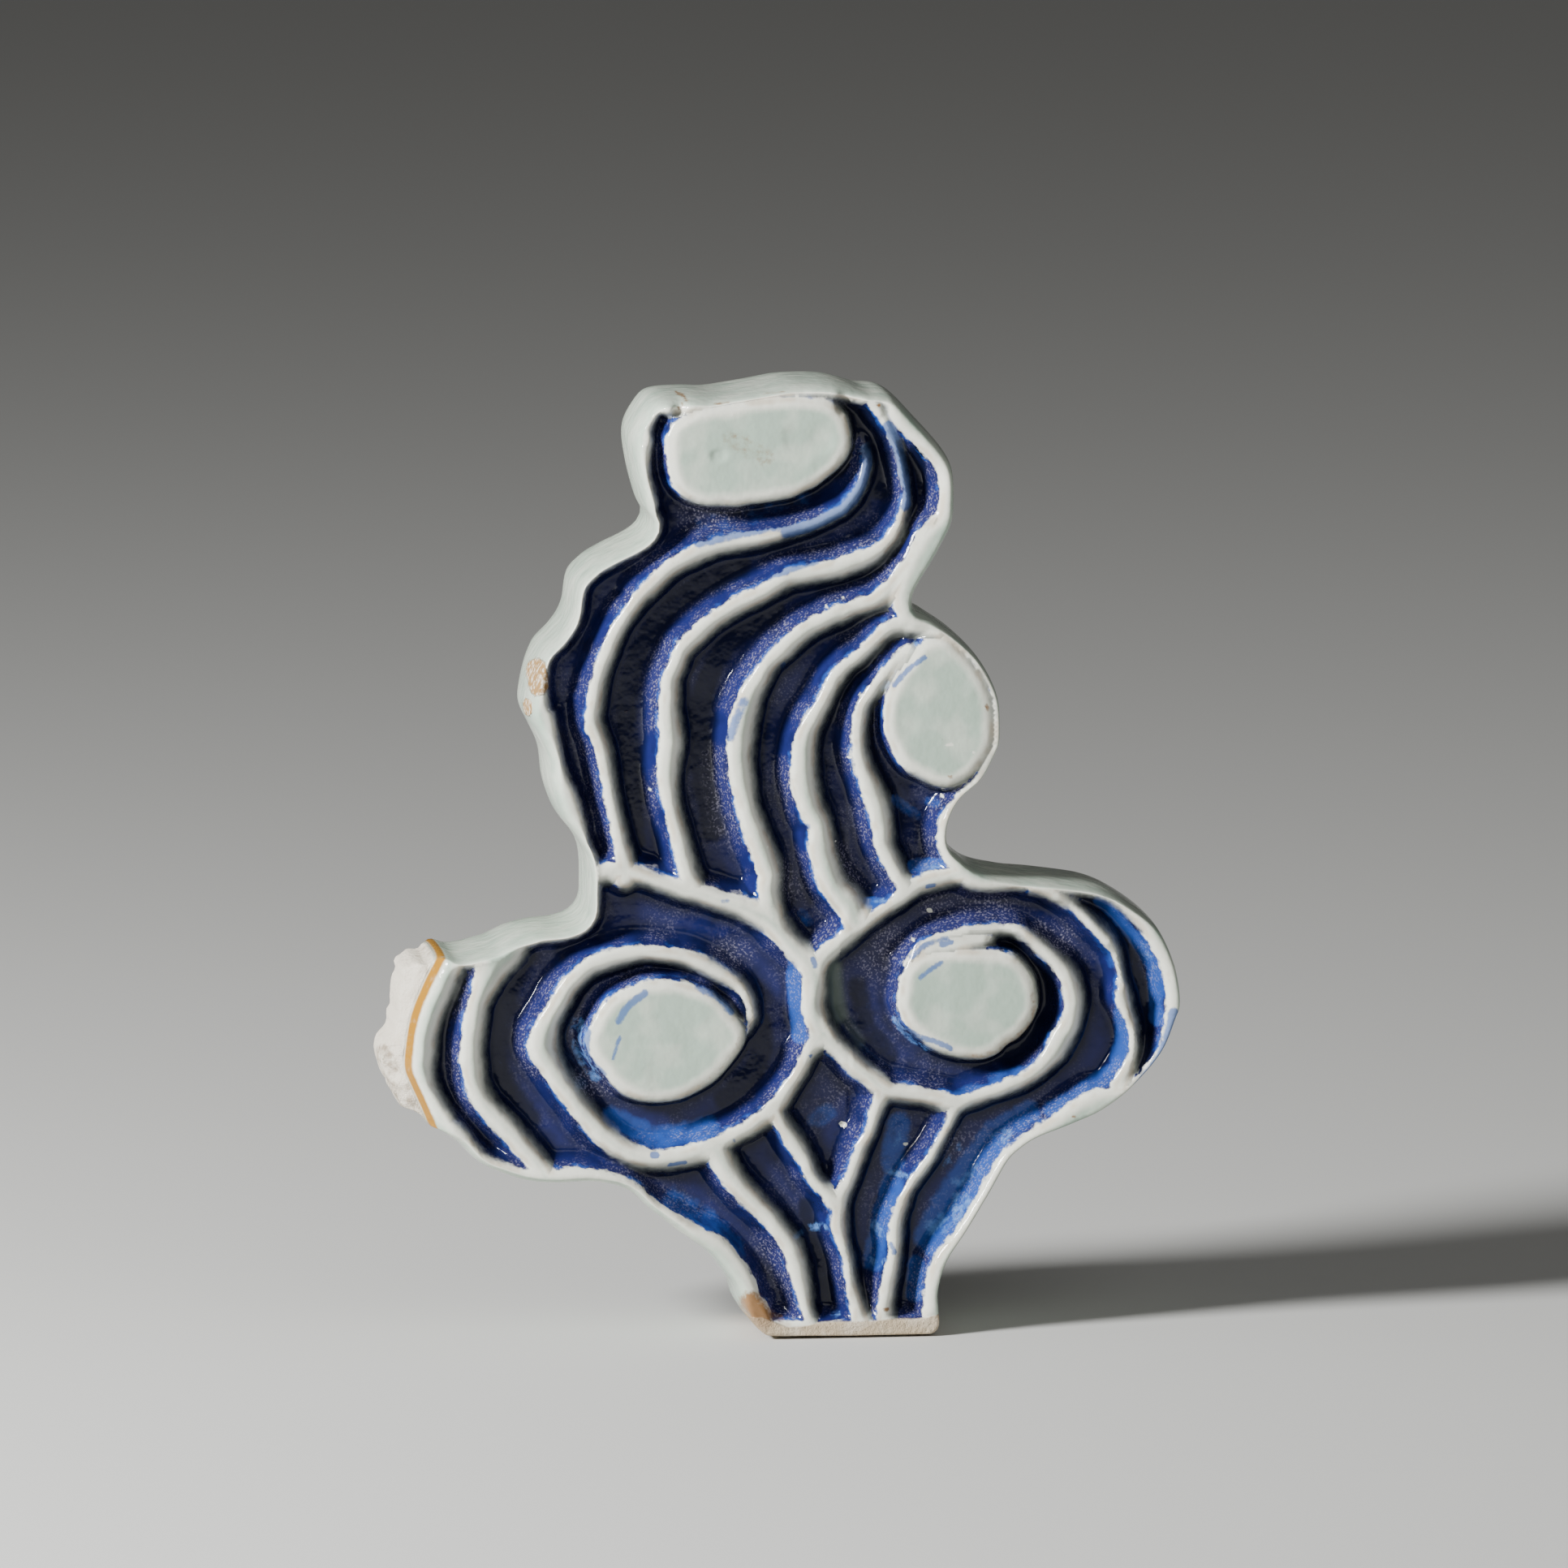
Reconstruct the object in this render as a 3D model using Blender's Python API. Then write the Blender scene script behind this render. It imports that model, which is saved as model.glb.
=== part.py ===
"""A finial: a flat cloud scroll of porcelain, carved on its faces, glazed, and broken at its left end.

The model is in metres, +Z up. The front looks along -Y, and the origin is the middle of the cut foot.
The drawing below is in parts of a 119th of the height, seen from a little to the left and above.
"""

import math

import bmesh
import bpy
from mathutils import Vector
from mathutils.geometry import intersect_line_line_2d

# Driving sizes, in metres
HEIGHT = 0.119
DEPTH = 0.020
LEFT_SWELL = 0.0013
RIGHT_SWELL = 0.0007
TOP_SWELL = 0.0011
CARVING = 0.0034
RIM_BELOW_BOSSES = 0.0002
RIDGE_BELOW_RIM = 0.0003
BOSS_SIDE_ROUNDING = 0.0009
BACK_RIDGE_BELOW_RIM = 0.0008
RIDGE_SUNK = 0.0006
CREST_STEP = 0.00003
FOOT_WIDTH = 0.0232
FOOT_DEPTH = 0.0196
FOOT_STRIP = 0.0016
FOOT_CORNER = 0.0018
STUB_DEPTH = 0.0160

# How the drawing sees the piece
DRAWN_HEIGHT = 119.0
UNIT = HEIGHT / DRAWN_HEIGHT
SEEN_FROM_LEFT = math.radians(7)
SEEN_FROM_ABOVE = math.radians(8)
FOOT_DRAWN_AT = 0.6

# How finely the curves are cut
BEND_PER_CUT = math.radians(9)
TUBE_BEVEL_STEPS = 2
BOSS_SIDES = 24
RIDGE_FLARE = 1.25
WELD = 0.000001

FRONT = DEPTH / 2
FLOOR = FRONT - CARVING

# The swelling side, in stretches that start under the foot and go up the right side. At each notch one
# stretch ends, and the next starts, a little inside the piece, so that one runs into the other.
RIGHT_SIDE = [
    (11.0, -3.0), (11.0, 1.7), (12.1, 6.0), (15.5, 12.5), (20.5, 21.0), (24.0, 23.8), (32.0, 27.2),
    (39.5, 34.5), (41.6, 42.0), (38.0, 51.0), (30.0, 56.2), (20.0, 57.6), (15.5, 58.5), (12.9, 60.2),
    (11.8, 61.4),
]
RIGHT_SHOULDER = [
    (12.2, 58.9), (13.1, 60.6), (14.5, 65.5), (17.3, 68.2), (19.4, 74.5), (18.8, 79.0), (16.5, 83.3),
    (10.9, 88.5), (8.3, 89.8), (6.8, 90.4),
]
TOP_SIDE = [
    (7.7, 88.6), (8.4, 90.2), (9.8, 93.5), (13.5, 102.0), (12.0, 109.0), (5.0, 116.4), (-5.0, 118.2),
    (-12.0, 117.3), (-20.0, 116.6), (-24.0, 116.0), (-27.1, 111.0), (-26.5, 106.5), (-25.1, 100.4),
    (-24.7, 98.8),
]
LEFT_SHOULDER = [
    (-23.8, 100.8), (-25.2, 100.0), (-29.6, 97.2), (-33.5, 93.4), (-36.2, 87.3), (-39.5, 81.5),
    (-38.5, 74.6), (-36.9, 68.0), (-33.5, 61.7), (-32.6, 55.0), (-33.0, 52.8), (-33.1, 51.2),
]
LEFT_SIDE = [
    (-31.8, 52.8), (-33.3, 52.3), (-35.5, 51.4), (-44.0, 49.0), (-50.0, 45.5), (-53.3, 37.0),
    (-53.0, 31.0), (-49.4, 25.5), (-44.0, 20.6), (-36.0, 18.5), (-27.0, 17.7), (-20.0, 12.2),
    (-14.5, 6.7), (-12.0, 2.0), (-10.6, -3.0),
]
SIDES = [
    (RIGHT_SWELL, RIGHT_SIDE), (RIGHT_SWELL, RIGHT_SHOULDER), (TOP_SWELL, TOP_SIDE),
    (LEFT_SWELL, LEFT_SHOULDER), (LEFT_SWELL, LEFT_SIDE),
]

# Each ridge is its half width, then the points that its crest runs through
FLAME_RIDGES = {
    "outer": (1.25, [(-26.7, 56), (-27.7, 62.5), (-30, 72.5), (-30.9, 77), (-28, 85.3), (-22, 92.4),
                     (-16, 96.3), (-4, 99.5), (1, 102), (2.9, 106), (2, 110)]),
    "second": (1.2, [(-18.5, 54), (-20, 62.5), (-21.1, 72.5), (-20.2, 82.3), (-17.3, 86.2), (-8.5, 91.7),
                     (-3, 93.6), (3, 95.3), (6.8, 99), (8.2, 104), (7, 109), (3, 115)]),
    "middle": (1.5, [(-9.5, 51), (-9.5, 57.5), (-12.6, 71), (-12, 75), (-8, 83), (-4, 86), (4.5, 90),
                     (9, 95.4)]),
    "inner": (1.55, [(0.7, 51), (-2.2, 59), (-4.6, 70), (-4, 74), (0.6, 82), (3, 84.7), (8.5, 87.3),
                     (11.8, 86)]),
    "boss_side": (1.15, [(7.8, 54), (5.2, 59.5), (2.1, 71.5), (2.4, 75.5), (6.5, 81.5), (11, 85)]),
}
BAND_RIDGES = {
    "left_band": (1.4, [(-32, 56.5), (-26, 57), (-17.5, 53.8), (-8, 49.8), (-3.2, 45), (-3.4, 40),
                        (-2.3, 36.3)]),
    "right_band": (1.4, [(-3, 45), (2, 50.5), (6.5, 53.7), (12, 55.6), (15.5, 56.2)]),
}
SCROLL_RIDGES = {
    "left_scroll": (1.4, [(-12.6, 39), (-13.3, 42.5), (-18, 45.8), (-24, 46.9), (-30.5, 45.6),
                          (-35.2, 40.5), (-36.8, 35), (-34.3, 29.5), (-29, 23.7), (-23, 21.3),
                          (-15.5, 22.6), (-7, 28.8), (-2.5, 36.3)]),
    "right_scroll": (1.15, [(8.5, 44), (12, 48.7), (17, 49.6), (22.5, 48.8), (28.5, 42.5), (28.5, 38),
                            (26.5, 33.7), (18, 28.9), (11, 28.9), (5.5, 29.8), (-2.2, 36.5)]),
}
LOBE_RIDGES = {
    "left_lobe": (1.35, [(-43.5, 47), (-44.3, 42), (-45.2, 32.5), (-42, 26.3), (-36.8, 19.5)]),
    "right_lobe": (0.8, [(24.5, 54.6), (29, 52.3), (34.4, 45), (35, 41), (36.2, 35), (33, 28.5)]),
}
STEM_RIDGES = {
    "stem_first": (1.15, [(-16, 23), (-14, 18.8), (-8, 11.7), (-4.6, 4), (-3.2, -2)]),
    "stem_second": (0.9, [(-8, 27), (-6, 22.8), (-0.5, 16)]),
    "stem_third": (0.95, [(5, 30), (2.4, 21), (-0.1, 13), (1.4, 5), (3, -2)]),
    "stem_fourth": (0.95, [(14, 29), (9.7, 19.5), (6.6, 11), (5.7, 4), (5.6, -2)]),
}
FRONT_RIDGES = {**FLAME_RIDGES, **BAND_RIDGES, **SCROLL_RIDGES, **LOBE_RIDGES, **STEM_RIDGES}
BACK_RIDGES = ["outer", "second", "inner", "left_band", "right_band", "stem_first", "stem_third"]

# Each boss is its middle, its half width and half height, its turn in degrees, and how square it is
BOSSES = {
    "left_boss": ((-21.7, 35.8), (9.7, 7.2), 8, 2.2),
    "right_boss": ((15.7, 40.4), (8.4, 6.9), 0, 2.3),
    "shoulder_boss": ((12.3, 75.6), (6.9, 8.7), 0, 2.2),
    "top_boss": ((-10.3, 107.9), (11.6, 6.6), 7, 2.8),
}
TOP_LEFT_KNOB = (-22.6, 112.6)
KNOB_RADIUS = 3.6

# The broken stub, whose front falls away to the left
STUB = [
    (-46, 46), (-49.5, 47.6), (-54, 46), (-55.4, 42.5), (-55.9, 38), (-57.6, 34.5), (-56.3, 30.2),
    (-52, 26.3), (-46, 27),
]
BREAK_STARTS_AT = (-53.6, 37)
BREAK_ANGLE = math.radians(48)
BREAK_BEHIND_FRONT = 0.0028

# The glaze
GLAZE_COLOUR = (0.62, 0.68, 0.63, 1)
GLAZE_ROUGHNESS = 0.15


def clear_scene():
    for obj in list(bpy.data.objects):
        bpy.data.objects.remove(obj)


def new_collection(name, hidden=False):
    collection = bpy.data.collections.new(name)
    collection.hide_render = hidden
    bpy.context.scene.collection.children.link(collection)
    return collection


def on_plane(drawn, depth):
    """The point (across, up), in metres, that the drawing shows, at this depth in front of the middle."""
    across = (drawn[0] * UNIT - depth * math.sin(SEEN_FROM_LEFT)) / math.cos(SEEN_FROM_LEFT)
    seen_up = (drawn[1] - FOOT_DRAWN_AT) * UNIT
    lean = math.sin(SEEN_FROM_LEFT) * math.sin(SEEN_FROM_ABOVE) * across
    drop = math.cos(SEEN_FROM_LEFT) * math.sin(SEEN_FROM_ABOVE) * depth
    return Vector((across, (seen_up - lean + drop) / math.cos(SEEN_FROM_ABOVE)))


def smooth(knots):
    """Points on a smooth curve through the knots (a Catmull-Rom curve), closer together where it bends."""
    ends = [2 * knots[0] - knots[1], 2 * knots[-1] - knots[-2]]
    held = [ends[0], *knots, ends[1]]
    points = []
    for before, start, end, after in zip(held, held[1:], held[2:], held[3:]):
        cuts = max(1, round((end - before).angle(after - start) / BEND_PER_CUT))
        for cut in range(cuts):
            t = cut / cuts
            points.append(
                0.5 * (2 * start + (end - before) * t
                       + (2 * before - 5 * start + 4 * end - after) * t ** 2
                       + (3 * start - before - 3 * end + after) * t ** 3)
            )
    return [*points, knots[-1]]


def moved_inward(points, distance):
    """The points of a stretch that runs anticlockwise, moved to its left by this distance."""
    moved = []
    for place, point in enumerate(points):
        along = points[min(place + 1, len(points) - 1)] - points[max(place - 1, 0)]
        along.normalize()
        moved.append(point + distance * Vector((-along.y, along.x)))
    return moved


def mesh_from_curve(curve_object, collection):
    """Makes the curve a closed mesh, standing upright with its face to the front."""
    graph = bpy.context.evaluated_depsgraph_get()
    mesh = bpy.data.meshes.new_from_object(curve_object.evaluated_get(graph))
    working = bmesh.new()
    working.from_mesh(mesh)
    bmesh.ops.remove_doubles(working, verts=working.verts, dist=WELD)
    bmesh.ops.recalc_face_normals(working, faces=working.faces)
    working.to_mesh(mesh)
    working.free()
    solid = bpy.data.objects.new(curve_object.name + "_solid", mesh)
    solid.matrix_world = curve_object.matrix_world
    collection.objects.link(solid)
    bpy.data.objects.remove(curve_object)
    return solid


def new_curve(name, points, closed, dimensions):
    curve = bpy.data.curves.new(name, "CURVE")
    curve.dimensions = dimensions
    spline = curve.splines.new("POLY")
    spline.points.add(len(points) - 1)
    for knot, point in zip(spline.points, points):
        knot.co = (point.x, point.y, 0, 1)
    spline.use_cyclic_u = closed
    obj = bpy.data.objects.new(name, curve)
    bpy.context.scene.collection.objects.link(obj)
    return obj


def slab(name, outline, front, back, rounding, collection):
    """A flat solid with this outline, from the depth back to the depth front."""
    obj = new_curve(name, outline, True, "2D")
    obj.data.fill_mode = "BOTH"
    obj.data.extrude = (front - back) / 2 - rounding
    obj.data.bevel_depth = rounding
    obj.data.bevel_resolution = 1
    obj.data.offset = -rounding
    obj.location = (0, -(front + back) / 2, 0)
    obj.rotation_euler = (math.radians(90), 0, 0)
    bpy.context.view_layer.update()
    return mesh_from_curve(obj, collection)


def ridge(name, points, half_width, rise, middle_depth, collection):
    """A rounded ridge along the points, with its middle at this depth."""
    obj = new_curve(name, points, False, "3D")
    obj.data.bevel_depth = half_width
    obj.data.bevel_resolution = TUBE_BEVEL_STEPS
    obj.data.use_fill_caps = True
    obj.data.twist_mode = "Z_UP"
    obj.location = (0, -middle_depth, 0)
    obj.rotation_euler = (math.radians(90), 0, 0)
    obj.scale = (1, 1, rise / half_width)
    bpy.context.view_layer.update()
    return mesh_from_curve(obj, collection)


def oval(middle, half_sizes, turn_degrees, squareness):
    """The drawn outline of an oval that is round at squareness 2 and squarer above it."""
    turn = math.radians(turn_degrees)
    points = []
    for step in range(BOSS_SIDES):
        angle = 2 * math.pi * step / BOSS_SIDES
        across = half_sizes[0] * math.copysign(abs(math.cos(angle)) ** (2 / squareness), math.cos(angle))
        up = half_sizes[1] * math.copysign(abs(math.sin(angle)) ** (2 / squareness), math.sin(angle))
        points.append((
            middle[0] + across * math.cos(turn) - up * math.sin(turn),
            middle[1] + across * math.sin(turn) + up * math.cos(turn),
        ))
    return points


def joined_where_they_cross(line, following):
    """The two lines as one, each cut off at the place where the end of one crosses the start of the other."""
    for end in range(len(line) - 1, 0, -1):
        for start in range(len(following) - 1):
            crossing = intersect_line_line_2d(line[end - 1], line[end], *following[start:start + 2])
            if crossing:
                return [*line[:end], crossing, *following[start + 1:]]
    return line + following


def make_sides(collection):
    """The rounded side all round the piece. Returns the line that its middle follows."""
    rim = []
    for number, (swell, drawn) in enumerate(SIDES):
        stretch = smooth([on_plane(knot, 0) for knot in drawn])
        line = moved_inward(stretch, swell)
        middle = number * CREST_STEP
        ridge(f"side_{number}", line, swell, FRONT - RIM_BELOW_BOSSES - 2 * middle, middle, collection)
        rim = joined_where_they_cross(rim, line) if rim else line
    return rim


def make_ridges(collection):
    """The carved ridges of the front, and fewer and lower ones on the back. Each is cut a hair lower than
    the one before it, so that where two meet one runs over the other."""
    for number, (name, (half_width, drawn)) in enumerate(FRONT_RIDGES.items()):
        line = smooth([on_plane(knot, FRONT) for knot in drawn])
        width = half_width * RIDGE_FLARE * UNIT
        middle = FLOOR - RIDGE_SUNK - number * CREST_STEP
        rise = CARVING + RIDGE_SUNK - RIM_BELOW_BOSSES - RIDGE_BELOW_RIM
        ridge(f"front_{name}", line, width, rise, middle, collection)
        if name in BACK_RIDGES:
            rise = CARVING + RIDGE_SUNK - BACK_RIDGE_BELOW_RIM
            ridge(f"back_{name}", line, width, rise, -middle, collection)


def make_bosses(collection):
    """The flat-topped ovals, which go right through to the back, and the knob at the top left."""
    back = BACK_RIDGE_BELOW_RIM - FRONT
    for name, shape in BOSSES.items():
        outline = [on_plane(point, FRONT) for point in oval(*shape)]
        slab(name, outline, FRONT, back, BOSS_SIDE_ROUNDING, collection)
    place = on_plane(TOP_LEFT_KNOB, 0)
    bpy.ops.mesh.primitive_uv_sphere_add(segments=16, ring_count=10, radius=1)
    knob = bpy.context.object
    knob.name = "top_left_knob"
    knob.scale = (KNOB_RADIUS * UNIT, FRONT - RIDGE_BELOW_RIM, KNOB_RADIUS * UNIT)
    knob.location = (place.x, 0, place.y)
    move_to(knob, collection)


def make_stub(collection, cutters):
    """The rest of an arm at the left, whose broken face slants back from the front."""
    outline = [on_plane(point, 0) for point in STUB]
    stub = slab("stub", outline, STUB_DEPTH / 2, -STUB_DEPTH / 2, 0, collection)
    size = HEIGHT / 2
    bpy.ops.mesh.primitive_cube_add(size=size)
    cutter = bpy.context.object
    cutter.name = "break_cutter"
    start = on_plane(BREAK_STARTS_AT, 0)
    outward = Vector((-math.cos(BREAK_ANGLE), -math.sin(BREAK_ANGLE), 0))
    cutter.rotation_euler = (0, 0, BREAK_ANGLE)
    cutter.location = Vector((start.x, BREAK_BEHIND_FRONT - FRONT, start.y)) + outward * size / 2
    move_to(cutter, cutters)
    hide_helper(cutter)
    cut = stub.modifiers.new("break", "BOOLEAN")
    cut.operation = "DIFFERENCE"
    cut.solver = "EXACT"
    cut.object = cutter


def make_foot(collection):
    """The plain strip round the foot, with rounded corners."""
    outline = []
    half = Vector((FOOT_WIDTH / 2 - FOOT_CORNER, FOOT_DEPTH / 2 - FOOT_CORNER))
    for quarter, (side, face) in enumerate([(1, 1), (-1, 1), (-1, -1), (1, -1)]):
        for step in range(4):
            angle = math.radians(90 * quarter + 30 * step)
            outline.append(Vector((
                side * half.x + FOOT_CORNER * math.cos(angle),
                face * half.y + FOOT_CORNER * math.sin(angle),
            )))
    obj = new_curve("foot", outline, True, "2D")
    obj.data.fill_mode = "BOTH"
    obj.data.extrude = FOOT_STRIP
    bpy.context.view_layer.update()
    return mesh_from_curve(obj, collection)


def move_to(obj, collection):
    for holder in list(obj.users_collection):
        holder.objects.unlink(obj)
    collection.objects.link(obj)


def hide_helper(obj):
    obj.hide_render = True
    obj.display_type = "WIRE"


def glaze():
    material = bpy.data.materials.new("glazed_porcelain")
    material.use_nodes = True
    shader = material.node_tree.nodes["Principled BSDF"]
    shader.inputs["Base Color"].default_value = GLAZE_COLOUR
    shader.inputs["Roughness"].default_value = GLAZE_ROUGHNESS
    shader.inputs["Metallic"].default_value = 0
    return material


def main():
    clear_scene()
    parts = new_collection("finial")
    carving = new_collection("carving", hidden=True)
    cutters = new_collection("cutters", hidden=True)

    rim = make_sides(carving)
    make_ridges(carving)
    make_bosses(carving)
    make_stub(carving, cutters)
    make_foot(carving)
    for obj in carving.objects:
        hide_helper(obj)

    finial = slab("finial_core", rim, FLOOR, -FLOOR, 0, parts)
    finial.name = "finial"
    joined = finial.modifiers.new("carving", "BOOLEAN")
    joined.operation = "UNION"
    joined.operand_type = "COLLECTION"
    joined.solver = "EXACT"
    joined.collection = carving

    bpy.ops.mesh.primitive_cube_add(size=HEIGHT)
    below = bpy.context.object
    below.name = "below_the_foot"
    below.location = (0, 0, -HEIGHT / 2)
    move_to(below, cutters)
    hide_helper(below)
    cut = finial.modifiers.new("cut_foot", "BOOLEAN")
    cut.operation = "DIFFERENCE"
    cut.solver = "EXACT"
    cut.object = below

    finial.data.materials.append(glaze())
    finial.data.shade_smooth()
    finial.data.set_sharp_from_angle(angle=math.radians(40))


main()
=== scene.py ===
import math

import bpy
import numpy as np
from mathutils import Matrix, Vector
from mathutils.geometry import delaunay_2d_cdt


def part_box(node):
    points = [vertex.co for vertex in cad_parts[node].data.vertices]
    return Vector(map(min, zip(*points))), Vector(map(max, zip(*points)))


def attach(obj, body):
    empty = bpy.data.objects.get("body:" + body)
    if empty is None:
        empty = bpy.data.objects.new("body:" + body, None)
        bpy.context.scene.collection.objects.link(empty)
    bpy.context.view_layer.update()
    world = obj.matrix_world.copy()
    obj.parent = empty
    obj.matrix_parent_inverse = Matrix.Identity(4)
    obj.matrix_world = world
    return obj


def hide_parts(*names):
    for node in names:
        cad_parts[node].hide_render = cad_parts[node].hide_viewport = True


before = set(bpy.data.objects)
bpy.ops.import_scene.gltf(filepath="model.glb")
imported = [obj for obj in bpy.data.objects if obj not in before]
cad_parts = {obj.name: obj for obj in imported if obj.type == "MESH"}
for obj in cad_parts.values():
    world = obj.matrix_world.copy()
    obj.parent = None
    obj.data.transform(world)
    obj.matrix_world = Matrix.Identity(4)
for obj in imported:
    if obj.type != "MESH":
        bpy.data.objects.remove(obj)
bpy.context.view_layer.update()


# The finial
# A flat cloud scroll of white porcelain, cut in one piece from a thick slab and carved on its faces with
# ridges and flat bosses. Cobalt is brushed into the grooves under a pale celadon glaze. It stands on its
# bare cut foot, and the arm at its left has broken off.

# The drawing that it is cut by is in millimetres, seen from a little to the left and above. Its sideways
# zero is the middle of the foot.
DRAWN_TALL = 118.84
foot_corner, top_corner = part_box("finial")
millimetre = (top_corner[2] - foot_corner[2]) / DRAWN_TALL
seen_from_left = math.radians(7)
seen_from_above = math.radians(8)
FOOT_DRAWN_AT = 0.6

# How thick the slab is from its middle to a face, how deep each face is carved, how far the ridges stay
# below the face and the bosses stand above it, and the direction, up and to the left, that the light
# comes from for the painted light and shade.
HALF_THICK = 9.8
CARVED_DEEP = 3.7
BACK_CARVED_DEEP = 2.6
RIDGE_LOW = 0.35
BOSS_PROUD = 0.2
LIT_FROM = np.array([-0.85, 0.53])


def as_cut(drawn, forward):
    """Where a drawn point lies across and up the piece, if it is this far in front of its middle."""
    across = (drawn[:, 0] - forward * math.sin(seen_from_left)) / math.cos(seen_from_left)
    lean = math.sin(seen_from_left) * math.sin(seen_from_above) * across
    drop = math.cos(seen_from_left) * math.sin(seen_from_above) * forward
    up = (drawn[:, 1] - FOOT_DRAWN_AT - lean + drop) / math.cos(seen_from_above)
    return np.column_stack([across, up])


def as_drawn(cut, forward):
    """Where the drawing shows a point that lies here across and up the piece, this far forward."""
    lean = math.sin(seen_from_left) * math.sin(seen_from_above) * cut[:, 0]
    drop = math.cos(seen_from_left) * math.sin(seen_from_above) * forward
    return np.column_stack([
        cut[:, 0] * math.cos(seen_from_left) + forward * math.sin(seen_from_left),
        cut[:, 1] * math.cos(seen_from_above) + lean - drop + FOOT_DRAWN_AT,
    ])


def flowing(knots, closed=False, every=0.7):
    """A smooth line through the knots. What a knot says besides its place flows along with it."""
    knots = np.array(knots, float)
    if closed:
        held = np.vstack([knots[-1:], knots, knots[:2]])
    else:
        held = np.vstack([2 * knots[0] - knots[1], knots, 2 * knots[-1] - knots[-2]])
    pieces = []
    for before, start, end, after in zip(held, held[1:], held[2:], held[3:]):
        cuts = max(1, math.ceil(math.dist(start[:2], end[:2]) / every))
        t = np.arange(cuts)[:, None] / cuts
        pieces.append(0.5 * (
            2 * start + (end - before) * t + (2 * before - 5 * start + 4 * end - after) * t ** 2
            + (3 * start - before - 3 * end + after) * t ** 3
        ))
    if not closed:
        pieces.append(knots[-1:])
    return np.vstack(pieces)


def evenly(line, every):
    """A closed line cut again at even steps."""
    loop = np.vstack([line, line[:1]])
    reached = np.concatenate([[0], np.cumsum(np.hypot(*np.diff(loop[:, :2], axis=0).T))])
    cuts = round(reached[-1] / every)
    steps = np.arange(cuts) * reached[-1] / cuts
    return np.column_stack([np.interp(steps, reached, column) for column in loop.T])


def smoothed(values, times=3):
    """Numbers round a closed line, each brought nearer to its neighbours."""
    for _ in range(times):
        values = (np.roll(values, 1) + values + np.roll(values, -1)) / 3
    return values


def nearest(line, points):
    """For each point: how far off the line is, if the point is on its lit side, and what the line says."""
    off = np.full(len(points), np.inf)
    lit = np.zeros(len(points))
    said = np.zeros((len(points), line.shape[1] - 2))
    for start, step in zip(line, np.diff(line, axis=0)):
        part = np.clip((points - start[:2]) @ step[:2] / (step[:2] @ step[:2]), 0, 1)
        away = points - start[:2] - part[:, None] * step[:2]
        reach = np.hypot(*away.T)
        closer = reach < off
        off[closer] = reach[closer]
        lit[closer] = away[closer] @ LIT_FROM / np.maximum(reach[closer], 1e-6)
        said[closer] = start[2:] + part[closer, None] * step[2:]
    return off, lit, said.T


def wobble(points, grain, sown):
    """A smooth unevenness between about -1 and 1, with bumps about this wide."""
    repeats_after = 96
    pegs = np.random.default_rng(sown).uniform(-1, 1, (repeats_after + 1, repeats_after + 1))
    place = points / grain
    low = np.floor(place).astype(int)
    part = place - low
    part = part ** 3 * (part * (6 * part - 15) + 10)
    x, y = low.T % repeats_after
    left = pegs[x, y] * (1 - part[:, 1]) + pegs[x, y + 1] * part[:, 1]
    right = pegs[x + 1, y] * (1 - part[:, 1]) + pegs[x + 1, y + 1] * part[:, 1]
    return left * (1 - part[:, 0]) + right * part[:, 0]


def eased(value, low, high):
    """Goes smoothly from 0 at low to 1 at high."""
    t = np.clip((value - low) / (high - low), 0, 1)
    return t * t * (3 - 2 * t)


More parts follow.
